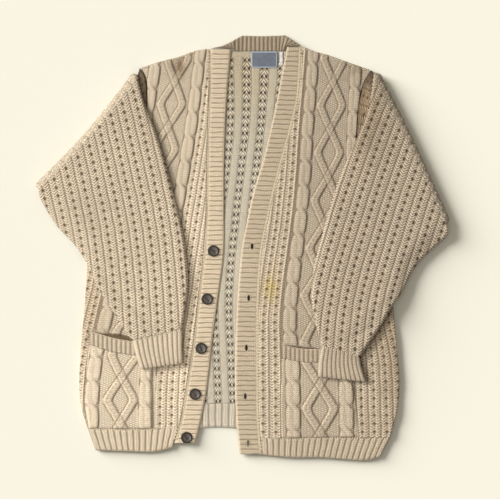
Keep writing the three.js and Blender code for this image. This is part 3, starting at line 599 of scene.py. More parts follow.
def rib_stitches(u, v, repeat, first, hole_size):
    """Shade and height of the paired ribs: eyelets, grooves, and big V stitches up each rib."""
    from_eyelets = across_lines(u, repeat, first)
    from_groove = across_lines(u, repeat, first + repeat / 2)
    from_rib = abs(across_lines(u, repeat / 2, first + repeat / 4))
    legs = hump(v / (EYELET_STEP / STITCHES_A_STEP) - from_rib / 6.5)
    beside = across_lines(v, EYELET_STEP)
    hole = sharper(bell(from_eyelets, hole_size) * bell(beside, hole_size + 0.2), 1.25)
    ladder = bell(from_eyelets, 1.4) * 0.45
    groove = sharper(bell(from_groove, 1.5), 1.2) * (hump(v / ROW) * 0.5 + 0.4)
    throat = bell(from_rib, 1.0) * (legs * -0.8 + 0.8)
    return most(hole, groove, throat, ladder), legs * 0.75 + 0.22


def herringbone(u, v, repeat, first, step):
    """Shade and height of the inside of the back: pairs of eyelets, slanting stitches between."""
    away = abs(across_lines(u, repeat, first))
    legs = hump(v / (step / 2) + away / 4.6)
    within = maths("LESS_THAN", away, 7.0)
    hole = sharper(bell(away - 3.7, 1.9) * bell(across_lines(v, step), 2.6), 2.3)
    edge = bell(away - 7.3, 1.0) * 0.55
    between = (legs * -0.45 + 0.45) * within
    return most(hole, edge, between), legs, within

# %% The wool itself
# Painted shade: down in grooves and eyelets, down in an armhole, and in the eyelets of the back.
GROOVE_SHADE = (0.085, 0.050, 0.020)
HOLLOW_SHADE = (0.095, 0.045, 0.013)
EYELET_SHADE = (0.055, 0.044, 0.030)
# Tints of patches: painted shade, painted light, and the real yellowing of worn wool.
SHADED, SUNLIT, YELLOWED = (0.70, 0.67, 0.62), (1.16, 1.16, 1.15), (0.97, 0.88, 0.42)


def cream(brightness, yellow=0.0):
    """The wool's cream, its brightness partly tone and partly painted light; yellower where worn.
    """
    return (brightness, brightness * (0.83 - 0.03 * yellow), brightness * (0.615 - 0.08 * yellow))


def stain_and_painted_light(x, y, half_x, half_y, tone=YELLOWED, strength=0.7):
    """Tinted patch for stains and for painted light and shade: its middle, half width and height in
    mm, tint.
    """
    return (x, y, half_x, half_y, tone, strength)


def wool(name, colour, ribs=None, inside=None, stains_and_painted_light=(), depth=0.92, contrast=0.9, relief=0.9,
         groove=GROOVE_SHADE, painted_highlight=0.0):
    """Knitted wool. `ribs` are the repeat, the first eyelets, where the ribs start, the size of an
    eyelet and how light the ribs are; `inside` are the repeat, the first column and the step of
    the herringbone. `depth` is how dark the painted shade in the grooves goes, `contrast` how much
    the stitches show in the colour as painted shade, `relief` how many mm they stand out, and
    `painted_highlight` how much lighter plain cloth is painted as a highlight."""
    material, place = new_material(name, roughness=0.92, specular=0.2, sheen=0.12,
                                   sheen_roughness=0.6)
    tree = material.node_tree
    knit = add(tree, "ShaderNodeUVMap", uv_map="knit").outputs["UV"]
    on_cloth = add(tree, "ShaderNodeSeparateXYZ", {0: knit}).outputs
    u = Field(on_cloth[0]) + (noise(place, 45.0) * 3.0 - 1.5)
    v = Field(on_cloth[1]) + (noise(place, 55.0) * 3.0 - 1.5)
    cavity, purl, plain, hollow = (
        attribute(tree, label) for label in ("cavity", "purl", "plain", "hollow"))
    stitches = stitch_height(u, v, purl)
    light = purl * -0.12 + 1.0
    if ribs:
        repeat, first, start, hole_size, rib_light = ribs
        shade, legs = rib_stitches(u, v, repeat, first, hole_size)
        here = maths("GREATER_THAN", abs(u), start) * (1.0 - plain)
        cavity = most(cavity, shade * here)
        stitches = (legs - stitches) * here + stitches
        light = light * (here * (rib_light - 1.0) + 1.0)
    if inside:
        shade, legs, within = herringbone(u, v, *inside)
        here = 1.0 - plain
        cavity = most(cavity, shade * here)
        stitches = (legs - stitches) * (within * here) + stitches
        light = light * (within * here * -0.06 + 1.0)
    # A painted highlight where the cloth is plain.
    if painted_highlight:
        light = light * (plain * painted_highlight + 1.0)
    light = light * (noise(place, 11.0) * 0.22 + 0.89) * (noise(place, 420.0) * 0.9 + 0.55)
    # The stitches are painted into the colour as well: painted shade between them.
    shown = lit(colour, light * (stitches * contrast + (1.1 - contrast / 2)))
    # Real stains, and patches of painted light and painted shade.
    for x, y, half_x, half_y, tone, strength in stains_and_painted_light:
        size = (1 / (half_x * MM), 1 / (half_y * MM), 0)
        near = add(tree, "ShaderNodeMapping", {0: place, 1: (-x / half_x, -y / half_y, 0), 3: size})
        away = add(tree, "ShaderNodeVectorMath", {0: near.outputs[0]}, operation="LENGTH")
        ragged = Field(away.outputs["Value"]) + (noise(place, 60.0) * 0.9 - 0.45)
        shown = mixed(bell(ragged, 0.75) * strength, shown, tone, "MULTIPLY")
    # Painted shade down in grooves, eyelets, slits and the gaping pocket mouth.
    shown = mixed(cavity * depth, shown, groove)
    # Painted brown shade down in an armhole.
    shown = mixed(hollow * (stitches * -0.35 + 1.0), shown, HOLLOW_SHADE)
    return painted(material, shown, noise(place, 900.0, 3.0) * 0.35 + stitches, 1.0, relief)


print("wool stitches are", STITCH, "by", ROW, "mm")

# %% [markdown]
# ## Settling a piece
# Every finished piece rides on the one body there is, stands for its solid and takes its
# material. For each piece of cloth the flat size it was knitted to is also worked out and printed.

# %% Settle
def settle(piece, material, node):
    piece.data.materials.clear()
    piece.data.materials.append(material)
    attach(piece, "root")
    if node:
        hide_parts(node)
    return piece


def outline_area(outline):
    """Area inside an outline in mm, in square metres."""
    x, y = outline.T
    return abs(np.dot(x, np.roll(y, -1)) - np.dot(y, np.roll(x, -1))) / 2 * MM * MM


def lay(piece, material, node, outline, sides=1):
    """Settles a piece and prints its cut size: length and width for a strip under a third of its
    box.
    """
    settle(piece, material, node)
    spread = np.ptp(outline, axis=0) * MM
    flat = (float(spread[0]) * sides, float(spread[1]))
    area = outline_area(outline) * sides
    if area >= 0.3 * flat[0] * flat[1]:
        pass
    else:
        run = float(run_along(outline)[-1] * MM / 2)
        flat = (run, area / run)
    print(f"{piece.name}: cut {flat[0]:.3f} x {flat[1]:.3f} m, {area:.4f} square metres")

# %% [markdown]
# ## The fronts
# A front is knitted in one piece: diamonds up the middle, a rope cable on each side of them, and
# pairs of eyelet ribs out to the edges. Above a pocket the pattern ends at the pocket's mouth, and
# behind the pocket the cloth is plain.

# %% Pattern of a front
CABLE_AT, CABLE_FROM, CABLE_TO = 42.0, 27.2, 54.5
EYELETS_FROM, EYELET_PITCH = 62.0, 18.3


def front_pattern(p, y, crossing, pitch, cables=(-CABLE_AT, CABLE_AT)):
    """Height, shade and ground of the pattern, p across from the middle of the diamonds."""
    away = np.abs(p)
    p, y = p + 0.55 * ripple(p, y, 9, 1.0), y + 0.55 * ripple(p, y, 9, 2.0)
    cable, cable_shade = rope(p - np.where(p > 0, cables[1], cables[0]), y)
    diamond, diamond_shade = lattice(p, y, crossing, pitch)
    beyond = smoothstep(away, CABLE_TO, CABLE_TO + 3)
    in_cable = away > CABLE_FROM
    height = np.where(in_cable, np.where(away < CABLE_TO, cable, 0), diamond)
    shade = np.where(in_cable, np.where(away < CABLE_TO + 1.5, cable_shade, 0), diamond_shade)
    height = height * (1 - beyond) + eyelet_ribs(away, y, EYELET_PITCH, EYELETS_FROM) * beyond
    ground = ((away < 30) & (diamond < 0.9)) | ((away > 27) & (away < 57) & (cable < 0.3))
    return height, shade, ground.astype(float)


def front_outline(side):
    seam = even(side["seam"], 60)
    foot = side["hem_top"][-1][1]
    return np.concatenate([
        even(side["shoulder"], 14), even(side["armhole"], 30)[1:], even(side["side"], 30)[1:-1],
        even(side["hem_top"], 20) + (0, GAP / 2),
        (seam[seam[:, 1] > foot + 1] + (side["sign"] * GAP / 2, 0))[::-1],
    ])


def on_grain(side, outline, step):
    """A grid along the wales, cut to an outline: x, y and the place across the wales of its
    points, and its quads."""
    centre = lambda y: looked_up(side["grain"], "y", "centre", y)
    stretch = lambda y: looked_up(side["grain"], "y", "stretch", y)
    places = lambda flat: (flat[:, 0] - centre(flat[:, 1])) / stretch(flat[:, 1])
    across, up = places(outline), outline[:, 1]
    columns = np.arange(across.min() - 2, across.max() + 2, step / stretch(up).mean())
    p, y = np.meshgrid(columns, np.arange(up.min() - 2, up.max() + 2, step))
    flat, quads = cut_grid(centre(y) + p * stretch(y), y, outline)
    return flat[:, 0], flat[:, 1], places(flat), quads


def in_pocket(side, x, y):
    """How far below the pocket's mouth a place is, in mm; beside the pocket it is far above it."""
    mouth = even(side["mouth"], 40)
    depth = np.interp(x, mouth[:, 0], mouth[:, 1]) - y
    return np.where((x > mouth[0, 0] - 2) & (x < mouth[-1, 0] + 2), depth, -999.0)

# %% Soft folds
FINE = 1.5
# Soft folds in the fronts: from x, y to x, y, half width and height.
FRONT_CREASES = dict(
    right=[(-150, 330, -112, 296, 7, 1.6), (-140, 290, -95, 330, 8, -1.0),
           (-120, 60, -100, -40, 14, 0.8)],
    left=[(200, 315, 160, 290, 8, 1.2), (90, 150, 110, 60, 14, 0.8),
          (180, -60, 200, -150, 14, 0.9)])
# The mouth of a pocket gapes: x and how tall the opening is there, sunk and painted in shade.
GAPES = dict(right=[(-262, 0), (-244, 3), (-228, 8), (-212, 10), (-196, 8), (-186, 0)],
             left=[(70, 0), (80, 2), (100, 3.5), (125, 3), (140, 0)])


def crease_height(x, y, creases):
    """Height of a few long soft folds."""
    total = 0
    for x0, y0, x1, y1, width, height in creases:
        way = np.array([x1 - x0, y1 - y0], float)
        long = np.linalg.norm(way)
        way /= long
        along = (x - x0) * way[0] + (y - y0) * way[1]
        across = (y - y0) * way[0] - (x - x0) * way[1]
        fade = (smoothstep(along, -0.1 * long, 0.25 * long)
                * smoothstep(-along, -1.1 * long, -0.75 * long))
        total = total + height * fade * np.exp(-(across / width) ** 2)
    return total

# %% [markdown]
# A pocket is sewn onto its front. The front swells a little towards the side edges of the pocket,
# and an opening gapes above the welt, sunk and painted in shade. Both are heights again, worked
# out from the distance to the lines of the pocket.

# %% Round the pocket
def pocket_sides(side, y):
    """x of the pocket's two side edges at a height, the lower x first."""
    lines = [even(side["pocket_" + key], 40) for key in ("right", "left")]
    edges = [np.interp(-y, -line[:, 1], line[:, 0]) for line in lines]
    return sorted(edges, key=lambda edge: edge.mean())


def pocket_shoulder(side, x, y):
    """The front swells up to meet the pocket's side edges, so that no step shows."""
    low, high = pocket_sides(side, y)
    away = np.maximum(low - x, x - high)
    top = np.interp(x, *np.array(side["mouth"], float).T) - side["welt"]
    return 1.7 * np.exp(-(away / 10.0) ** 2) * (away > 0) * smoothstep(top - y, 0, 25)


def mouth_gape(side, x, height_above):
    """1 in the opening above the pocket's welt, which is sunk and painted in shade."""
    rows = np.array(GAPES[side["name"]], float)
    tall = np.interp(x, rows[:, 0], rows[:, 1], left=0, right=0)
    return smoothstep(tall - height_above, 0, 1.5) * (height_above > -30) * (tall > 0.3)

# %% Knit the fronts
def front(side, material):
    outline = front_outline(side)
    x, y, p, quads = on_grain(side, outline, FINE)
    diamonds = side["diamonds"]
    height, shade, purl = front_pattern(p, y, diamonds["front"], diamonds["pitch"])
    plain_corner = smoothstep(p * side["sign"], 54, 57) * smoothstep(y, 180, 215)
    height = height * (1 - plain_corner)
    below = in_pocket(side, x, y)
    above = smoothstep(-below, 1.0, 7.0)
    gape = mouth_gape(side, x, -below)
    # The gape sinks, and is painted in shade through the cavity mark.
    height, shade = height * above - 1.6 * gape, np.maximum(shade * above, gape)
    folds = crease_height(x, y, FRONT_CREASES[side["name"]]) + 0.35 * ripple(x, y, 90, side["sign"])
    lift = np.maximum(height + folds * above + pocket_shoulder(side, x, y), -2.0)
    z = FRONT + WALL + np.where(below > 0, np.minimum(lift, 0), lift)
    name = side["name"] + "_front"
    marks = dict(cavity=shade, purl=purl, plain=plain_corner)
    piece = closed_sheet(name + "_knit", np.stack([x, y, z], axis=1), quads, FRONT,
                         np.stack([p, y], axis=1), marks)
    lay(piece, material, name, outline)


FRONT_RIBS = (EYELET_PITCH, EYELETS_FROM, 57, 2.2, 0.86)
# The right front is painted lighter than the left, for the light on each. Their patches are painted
# shade at the outer sides and at the shoulders, painted light low on the right front, a real yellow
# stain on the left front and two small orange-brown spots.
front(RIGHT, wool("wool_right_front", cream(0.58), FRONT_RIBS, stains_and_painted_light=[
    stain_and_painted_light(-264, -120, 38, 170, SHADED), stain_and_painted_light(-100, -170, 34, 150, SUNLIT, 0.9),
    stain_and_painted_light(-112, 316, 19, 22, SHADED, 1.0), stain_and_painted_light(-108, 316, 6, 17, (0.55, 0.45, 0.33), 0.9),
    stain_and_painted_light(-135, 3.5, 2, 2.5, (0.7, 0.4, 0.15), 0.9)]))
front(LEFT, wool("wool_left_front", cream(0.47), FRONT_RIBS, stains_and_painted_light=[
    stain_and_painted_light(268, -150, 50, 200, SHADED, 1.0), stain_and_painted_light(202, 320, 26, 22, SHADED, 0.8),
    stain_and_painted_light(50, -72, 18, 34), stain_and_painted_light(107, 294, 3, 2, (0.75, 0.38, 0.12), 0.9)]))

# %% [markdown]
# ## Ribbing
# Hems, cuffs, bands and welts are ribbed: the same rounded rib over and over. That is work for
# Geometry Nodes. The tree below takes a smooth strip whose points carry "rib", a count that goes
# up by one for each rib, and "out", the way a rib rises. It pushes the points out by the rib's
# profile, presses a fine line between the two wales of each rib, and writes the shade of the
# grooves, so one tree makes every ribbed piece.

# %% A geometry tree and how to run it
def geometry_tree(name, **inputs):
    """A new tree with a geometry and the named inputs going in, and a geometry coming out."""
    tree = bpy.data.node_groups.new(name, "GeometryNodeTree")
    tree.interface.new_socket("Geometry", in_out="INPUT", socket_type="NodeSocketGeometry")
    for label, kind in inputs.items():
        tree.interface.new_socket(label, in_out="INPUT", socket_type="NodeSocket" + kind)
    tree.interface.new_socket("Geometry", in_out="OUTPUT", socket_type="NodeSocketGeometry")
    return tree, tree.nodes.new("NodeGroupInput").outputs, tree.nodes.new("NodeGroupOutput")


def finish_tree(tree, geometry, material, output):
    real = add(tree, "GeometryNodeRealizeInstances", {0: geometry})
    done = add(tree, "GeometryNodeSetMaterial", {"Geometry": real.outputs[0], "Material": material})
    tree.links.new(done.outputs[0], output.inputs[0])


def run_tree(piece, tree, **values):
    """Runs a tree on a piece and keeps the result as the piece's own plain mesh."""
    modifier = piece.modifiers.new(tree.name, "NODES")
    modifier.node_group = tree
    for item in tree.interface.items_tree:
        if item.in_out == "INPUT" and item.name in values:
            modifier[item.identifier] = values[item.name]
    graph = bpy.context.evaluated_depsgraph_get()
    made = bpy.data.meshes.new_from_object(
        piece.evaluated_get(graph), preserve_all_data_layers=True, depsgraph=graph)
    piece.modifiers.clear()
    piece.data = made

# %% The ribbing tree
SPLIT = 0.3
RIBBING, given, output = geometry_tree("ribbing", Height="Float", Groove="Float", Shade="Float",
                                       Split="Float", Material="Material")


def named(tree, name, kind):
    made = add(tree, "GeometryNodeInputNamedAttribute", {"Name": name}, data_type=kind)
    return made.outputs["Attribute"]


def ranged(value, end, first, last, way="LINEAR"):
    """From `first` where the value is 0 to `last` where it is `end`."""
    made = add(value.socket.id_data, "ShaderNodeMapRange",
               {0: value, 1: 0.0, 2: end, 3: first, 4: last}, interpolation_type=way)
    return Field(made.outputs[0])


turn = maths("FRACT", Field(named(RIBBING, "rib", "FLOAT")))
profile = ranged(maths("MINIMUM", turn, 1.0 - turn), given["Groove"], 0.0, 1.0, "SMOOTHSTEP")
between = ranged(abs(turn - 0.5), 0.14, given["Split"], 0.0)
out = named(RIBBING, "out", "FLOAT_VECTOR")
rise = (between * -0.5 + profile) * given["Height"]
moved = add(RIBBING, "GeometryNodeSetPosition", {
    "Geometry": given["Geometry"], "Offset": lit(out, rise)})
strength = add(RIBBING, "ShaderNodeVectorMath", {0: out}, operation="LENGTH").outputs["Value"]
dark = most((1.0 - profile) * given["Shade"], between) * strength
stored = add(RIBBING, "GeometryNodeStoreNamedAttribute", {
    "Geometry": moved.outputs[0], "Name": "cavity",
    "Value": most(dark, named(RIBBING, "cavity", "FLOAT"))}, data_type="FLOAT", domain="POINT")
finish_tree(RIBBING, stored.outputs[0], given["Material"], output)
print("ribbing tree:", len(RIBBING.nodes), "nodes")


def rib_up(piece, rib, out, material, height, groove, shade):
    """Puts the ribs on a piece: rib and out are given for every point, height in mm."""
    mark(piece.data, "rib", rib)
    ways = piece.data.attributes.new("out", "FLOAT_VECTOR", "POINT").data
    ways.foreach_set("vector", np.asarray(out, np.float32).ravel())
    run_tree(piece, RIBBING, Height=height * MM, Groove=groove, Shade=shade, Split=SPLIT,
             Material=material)

# %% [markdown]
# ## Hems, bands and welts
# Each of these is a strip between two edges. On the front bands the ribs are flat with a narrow
# groove between them, and they stop short of the free edge and of the seam; on hems and welts they
# are round and run right across.

# %% Points of a strip
WALES_A_RIB, POINTS_A_RIB = 2, 8


def strip_points(edge_a, edge_b, pitch, columns, matched):
    """A grid between two edges, the count of ribs along it, and the share of the way across. The
    edges are walked evenly, or row by row if they are matched."""
    ribs = max(2, round(run_along(even(edge_a, 200))[-1] / pitch))
    rows = ribs * POINTS_A_RIB + 1
    if matched:
        a, b = (curve(edge, np.linspace(0, len(edge_a) - 1, rows)) for edge in (edge_a, edge_b))
    else:
        a, b = (even(edge, rows) for edge in (edge_a, edge_b))
    rib, share = np.meshgrid(np.linspace(0, ribs, rows), np.linspace(0, 1, columns), indexing="ij")
    grid = a[:, None] * (1 - share[..., None]) + b[:, None] * share[..., None]
    return grid, rib, share


def face_up(points, quads):
    corner = points[quads[:, :3]]
    turned = np.cross(corner[:, 1, :2] - corner[:, 0, :2], corner[:, 2, :2] - corner[:, 0, :2])
    return quads[:, ::-1] if turned.sum() < 0 else quads


def cut_slits(points, quads, slits):
    """Leaves the quads inside the slits out, moves the points round them onto them, and marks
    those points for painted shade round each slit."""
    for slit in slits:
        quads = quads[~is_inside(points[:, 0], points[:, 1], slit)[quads].any(axis=1)]
    rim = np.unique(boundary_edges(quads))
    marked = np.zeros(len(points))
    for slit in slits:
        places, away = onto_outline(points[rim, :2], slit)
        close = away < 2.5
        points[rim[close], :2] = places[close]
        marked[rim[close]] = 1.0
    return quads, marked

# %% [markdown]
# The strip is laid out smooth and its ribs are put on last. Every point carries how far it may
# rise, so that the ribs fade out along a plain side and the cloth thins towards a rounded edge.

# %% A ribbed strip
def ribbed_strip(name, edges, pitch, under, material, height=1.2, groove=0.5, shade=0.75,
                 plain=(0.0, 0.0), round_edges=(False, True), columns=14, lifted=None, slits=(),
                 waver=0.0, matched=False):
    """A ribbed strip of cloth between two edges. `plain` is how much of each side has no ribs, in
    mm, `lifted` gives how far the strip is lifted at x, y and a share of the way across, and
    `waver` is how unevenly the ribs run."""
    grid, rib, share = strip_points(*edges, pitch, columns, matched)
    width = np.linalg.norm(grid[:, 0] - grid[:, -1], axis=1)[:, None]
    near = [share * width, (1 - share) * width]
    weight, thick = np.ones_like(share), np.full(share.shape, WALL)
    for gap, rounded, away in zip(plain, round_edges, near):
        if gap:
            weight = weight * smoothstep(away, gap * 0.6, gap * 1.3)
        if rounded:
            thick = thick - WALL * 0.55 * (1 - arch(np.clip(3 - away, 0, 3), 3.0))
            weight = weight * smoothstep(away, 0, 2.0)
    base = np.full(share.shape, float(under))
    if lifted is not None:
        base = base + lifted(grid[..., 0], grid[..., 1], share)
    points = np.concatenate([grid, (base + thick)[..., None]], axis=2).reshape(-1, 3)
    quads, marked = grid_quads(*share.shape), np.zeros(len(points))
    if slits:
        quads, marked = cut_slits(points, quads, slits)
    knit = np.stack([rib * WALES_A_RIB * STITCH, share * width], axis=2).reshape(-1, 2)
    piece = closed_sheet(name, points, face_up(points, quads), base.ravel(), knit,
                         dict(cavity=marked), plain_below=False)
    # The points of the under face come second, and get no ribs.
    used = np.unique(quads)
    out = np.zeros((2 * len(used), 3))
    out[:len(used), 2] = weight.ravel()[used]
    rib = rib + waver * ripple(share * width, rib * pitch, 16, 3.0)
    rib_up(piece, np.tile(rib.ravel()[used], 2), out, material, height, groove, shade)
    return piece, np.concatenate([grid[:, 0], grid[::-1, -1]])

# %% Rib the hems and welts
HEM_PITCH = dict(right=11.3, left=10.6)
# The right hem is painted lighter than the left, for the light on each; the back's hem has its own
# greyer tone.
WOOL_HEM = {name: wool(f"wool_{name}_hem", colour) for name, colour in (
    ("right", cream(0.63)), ("left", cream(0.545)), ("back", (0.56, 0.50, 0.40)))}
shift = lambda rows, dx, dy: [(x + dx, y + dy) for x, y in rows]


def hem(node, table, under, material, pitch, height=1.2, shade=0.8):
    edges = (shift(table["hem_top"], 0, -GAP / 2), table["hem_foot"])
    piece, outline = ribbed_strip(node + "_knit", edges, pitch, under, material, height, 0.28,
                                  shade, columns=16, waver=0.06)
    lay(piece, material, node, outline)


def welt(side, material):
    mouth = side["mouth"]
    span = mouth[-1][0] - mouth[0][0]
    gaping = lambda x, y, share: 1.3 * (1 - share) ** 2 * np.sin(
        math.pi * np.clip((x - mouth[0][0]) / span, 0, 1))
    name = side["name"] + "_pocket_welt"
    edges = (mouth, shift(mouth, 0, -side["welt"]))
    piece, outline = ribbed_strip(name + "_knit", edges, 8.1, POCKET, material, 1.3, 0.5, 0.7,
                                  round_edges=(True, False), columns=12, lifted=gaping)
    lay(piece, material, name, outline)


hem("back_hem", BACK, 0, WOOL_HEM["back"], 12.0, 1.0, 0.65)
for side in SIDES:
    name = side["name"]
    hem(name + "_front_hem", side, FRONT, WOOL_HEM[name], HEM_PITCH[name])
    welt(side, WOOL_HEM[name])

# %% [markdown]
# The wearer's left band has five buttonholes along it, so the strip is cut there and its edge is
# moved onto each slit.

# %% Bands with buttonholes
BUTTONHOLES = [(18, 1), (12, -89), (8, -176), (6, -261), (11, -343)]


def slit_at(x, y, half_width=2.0, half_length=5.0):
    turn = np.linspace(0, 2 * math.pi, 17)[:-1]
    return np.stack([x + half_width * np.cos(turn), y + half_length * np.sin(turn)], axis=1)


def band(side, brightness, slits=()):
    name = side["name"] + "_band"
    material = wool("wool_" + name, cream(brightness, 0.3))
    edges = (shift(side["seam"], -side["sign"] * GAP, 0), side["free"])
    piece, outline = ribbed_strip(name + "_knit", edges, 8.6, FRONT, material, 1.05, 0.23, 0.85,
                                  plain=(5.0, 2.5), columns=26, slits=slits, waver=0.09)
    lay(piece, material, name, outline)


# The right band is painted lighter than the left, for the light on each.
band(RIGHT, 0.69)
band(LEFT, 0.56, [slit_at(x, y) for x, y in BUTTONHOLES])

# %% [markdown]
# The neck band joins the two front bands round the back of the neck. Its ribs stand upright in the
# middle and fan out towards its two tails, which lie on the shoulders.

# %% Neck band
# x, lower edge, upper edge and how high the strip lies there.
NECK = np.array([(-56, 346.3, 346.8, 3.95), (-36, 346.4, 351, 3.95), (-17, 346.2, 359.5, 3.95),
                 (-13.5, 343, 362.5, 2.4), (0, 342.8, 369.8, 0), (34, 342.8, 369, 0),
                 (66, 342.8, 369.8, 0), (72, 343, 370.2, 1.2), (75.5, 350.6, 370.6, 2.4),
                 (86, 350.8, 363.5, 3.95), (97, 351.2, 356, 3.95), (104, 351.8, 352.2, 3.95)])
# The ribs fan round the two inner corners: where one starts above, and where it ends below.
FAN = np.array([(-56, -22), (-17, -15.5), (4, 3), (34, 34), (62, 62), (82, 74), (104, 80)])
WOOL_NECK = wool("wool_neck", cream(0.43, 0.4))
above = np.linspace(NECK[0, 0], NECK[-1, 0], 60)
below = np.interp(above, *FAN.T)
low, high = (np.stack([x, np.interp(x, NECK[:, 0], NECK[:, k])], axis=1)
             for x, k in ((below, 1), (above, 2)))
piece, outline = ribbed_strip("neck_band_knit", (low, high), 4.8, 0, WOOL_NECK, 1.2, 0.4, 0.85,
                              lifted=lambda x, y, share: np.interp(x, NECK[:, 0], NECK[:, 3]),
                              matched=True)
lay(piece, WOOL_NECK, "neck_band", outline)

# %% [markdown]
# ## Pockets
# Below its welt each pocket carries the cables and diamonds on, starting afresh. Its side edges
# thin out, so that it runs into the front with no step.

# %% Knit the pockets
def pocket(side, brightness):
    name = side["name"] + "_pocket"
    mouth = even(shift(side["mouth"], 0, -side["welt"] - GAP), 24)
    lowest = min(mouth[0, 1], mouth[-1, 1]) - 2
    lines = [even(side["pocket_" + key], 24) for key in ("right", "left")]
    right, left = (line[line[:, 1] < lowest] for line in lines)
    outline = np.concatenate([mouth, right, left[::-1]])
    x, y, p, quads = on_grain(side, outline, FINE)
    diamonds = side["diamonds"]
    height, shade, purl = front_pattern(p, y, diamonds["pocket"], diamonds["pitch"],
                                        side["pocket_cables"])
    foot = np.array(sorted(side["hem_top"]), float)
    from_edge = [np.abs(x - np.interp(-y, -line[:, 1], line[:, 0])) for line in (left, right)]
    from_edge = np.minimum(np.minimum(*from_edge), y - np.interp(x, *foot.T))
    height = np.where(np.abs(p) < 56, height, 0.3 * height)
    thin = 0.4
    z = POCKET + thin + (WALL - thin + height) * (0.3 + 0.7 * smoothstep(from_edge, -0.5, 5))
    marks = dict(cavity=shade * smoothstep(from_edge, 0, 3), purl=purl)
    piece = closed_sheet(name + "_knit", np.stack([x, y, z], axis=1), quads, POCKET,
                         np.stack([p, y], axis=1), marks)
    material = wool("wool_" + name, cream(brightness))
    lay(piece, material, name, outline)


# The right pocket is painted lighter than the left, for the light on each.
pocket(RIGHT, 0.63)
pocket(LEFT, 0.51)

# %% [markdown]
# ## The back
# Between the bands the inside of the back shows: plain columns, and between them columns with a
# pair of eyelets and a herringbone of stitches. Only that strip needs fine points, so the grid is
# fine there and coarse under the fronts. The cloth under each buttonhole is shaded, because hardly
# any light falls through the slit.

# %% Knit the back
BACK_REPEAT, BACK_FIRST, BACK_STEP = 28.5, 0.0, 14.2
BACK_GRAIN = [dict(y=-400, centre=-15, stretch=0.86), dict(y=-250, centre=-17, stretch=0.88),
              dict(y=-84, centre=-22.8, stretch=0.9), dict(y=60, centre=-10, stretch=0.91),
              dict(y=205, centre=5.8, stretch=0.93), dict(y=316, centre=8.8, stretch=1.09),
              dict(y=400, centre=10, stretch=1.1)]


def back_pattern(u, v):
    """Height of the inside of the back."""
    away = (u - BACK_FIRST) / BACK_REPEAT
    away = np.abs(away - np.round(away)) * BACK_REPEAT
    smooth = 1.2 * arch(BACK_REPEAT / 2 - away, 7.0) ** 0.6
    beside = (v / BACK_STEP - np.round(v / BACK_STEP)) * BACK_STEP
    hole = np.exp(-(((away - 3.7) / 1.5) ** 2 + (beside / 2.2) ** 2) ** 1.6)
    leaning = 0.5 + 0.5 * np.sin(2 * math.pi * (v / (BACK_STEP / 2) + away / 4.6))
    return np.where(away > 7.3, smooth, 0.4 + 0.8 * leaning * arch(away, 7.3)) - 1.6 * hole


def back_outline():
    below = lambda line: line[line[:, 1] < BACK["neck"]]
    return np.concatenate([
        below(even(RIGHT["shoulder"], 20)), even(RIGHT["armhole"], 30)[1:],
        even(RIGHT["side"], 30)[1:-1], even(BACK["hem_top"], 60) + (0, GAP / 2),
        even(LEFT["side"], 30)[1:-1][::-1], even(LEFT["armhole"], 30)[1:][::-1],
        below(even(LEFT["shoulder"], 20))[::-1],
        [(LEFT["shoulder"][1][0] - 4, BACK["neck"]), (RIGHT["shoulder"][1][0] + 4, BACK["neck"])]])


# The back is painted darker towards the neck, as shade, and its eyelets are painted in dark shade.
WOOL_BACK = wool("wool_back", (0.51, 0.455, 0.355), inside=(BACK_REPEAT, BACK_FIRST, BACK_STEP),
                 stains_and_painted_light=[stain_and_painted_light(5, 330, 75, 130, (0.86, 0.80, 0.70), 0.9)], depth=0.97,
                 groove=EYELET_SHADE)
outline = back_outline()
across = np.concatenate([np.arange(*part) for part in (
    (-290, -78, 12), (-78, 102, 1.35), (102, 282, 12))])
flat, quads = cut_grid(*np.meshgrid(across, np.arange(-336, 344, FINE)), outline)
x, y = flat.T
grain = {key: looked_up(BACK_GRAIN, "y", key, y) for key in ("centre", "stretch")}
knit = np.stack([(x - grain["centre"]) / grain["stretch"], y], axis=1)
plain_top = smoothstep(y, BACK["neck"] - 11, BACK["neck"] - 8)
height = back_pattern(*knit.T) * (1 - plain_top)
under_slits = sum(1 - smoothstep(np.hypot((x - slit_x) / 4.5, (y - slit_y) / 8.0), 1.0, 1.4)
                  for slit_x, slit_y in BUTTONHOLES)
piece = closed_sheet("back_panel_knit", np.stack([x, y, WALL + height], axis=1), quads, 0, knit,
                     dict(cavity=under_slits, plain=plain_top))
lay(piece, WOOL_BACK, "back_panel", outline)

# %% [markdown]
# ## The sleeves
# A folded sleeve is the hardest shape here. A cloth simulation could fold it, but would not lie
# still on its solid. Instead the sleeve is a flattened tube that is bent like a sheet of card: it
# runs out from the armhole under the front's edge, turns over at the shoulder, and comes down
# again over the front. `along` is -2 at the armhole, -1 and 0 at the two ends of the bend, and 1,
# 2 and on at the rows of the table; `across` runs from the inner edge to the outer one.

# %% A flattened tube
# Half the sleeve's height, how far it swings out in the bend, and how wide its round edges are.
HALF, BEND, ROUND = 4.2, 5.0, 7.0


def edge_round(distance):
    return np.sqrt(1 - (1 - np.clip(distance / ROUND, 0, 1)) ** 2)


def faces_of_ring(across_top, across_under):
    """The shares across and the faces of a ring: out over the top (1) and back below (-1)."""
    across = np.concatenate([across_top, across_under])
    return across, np.where(np.arange(len(across)) < len(across_top), 1.0, -1.0)

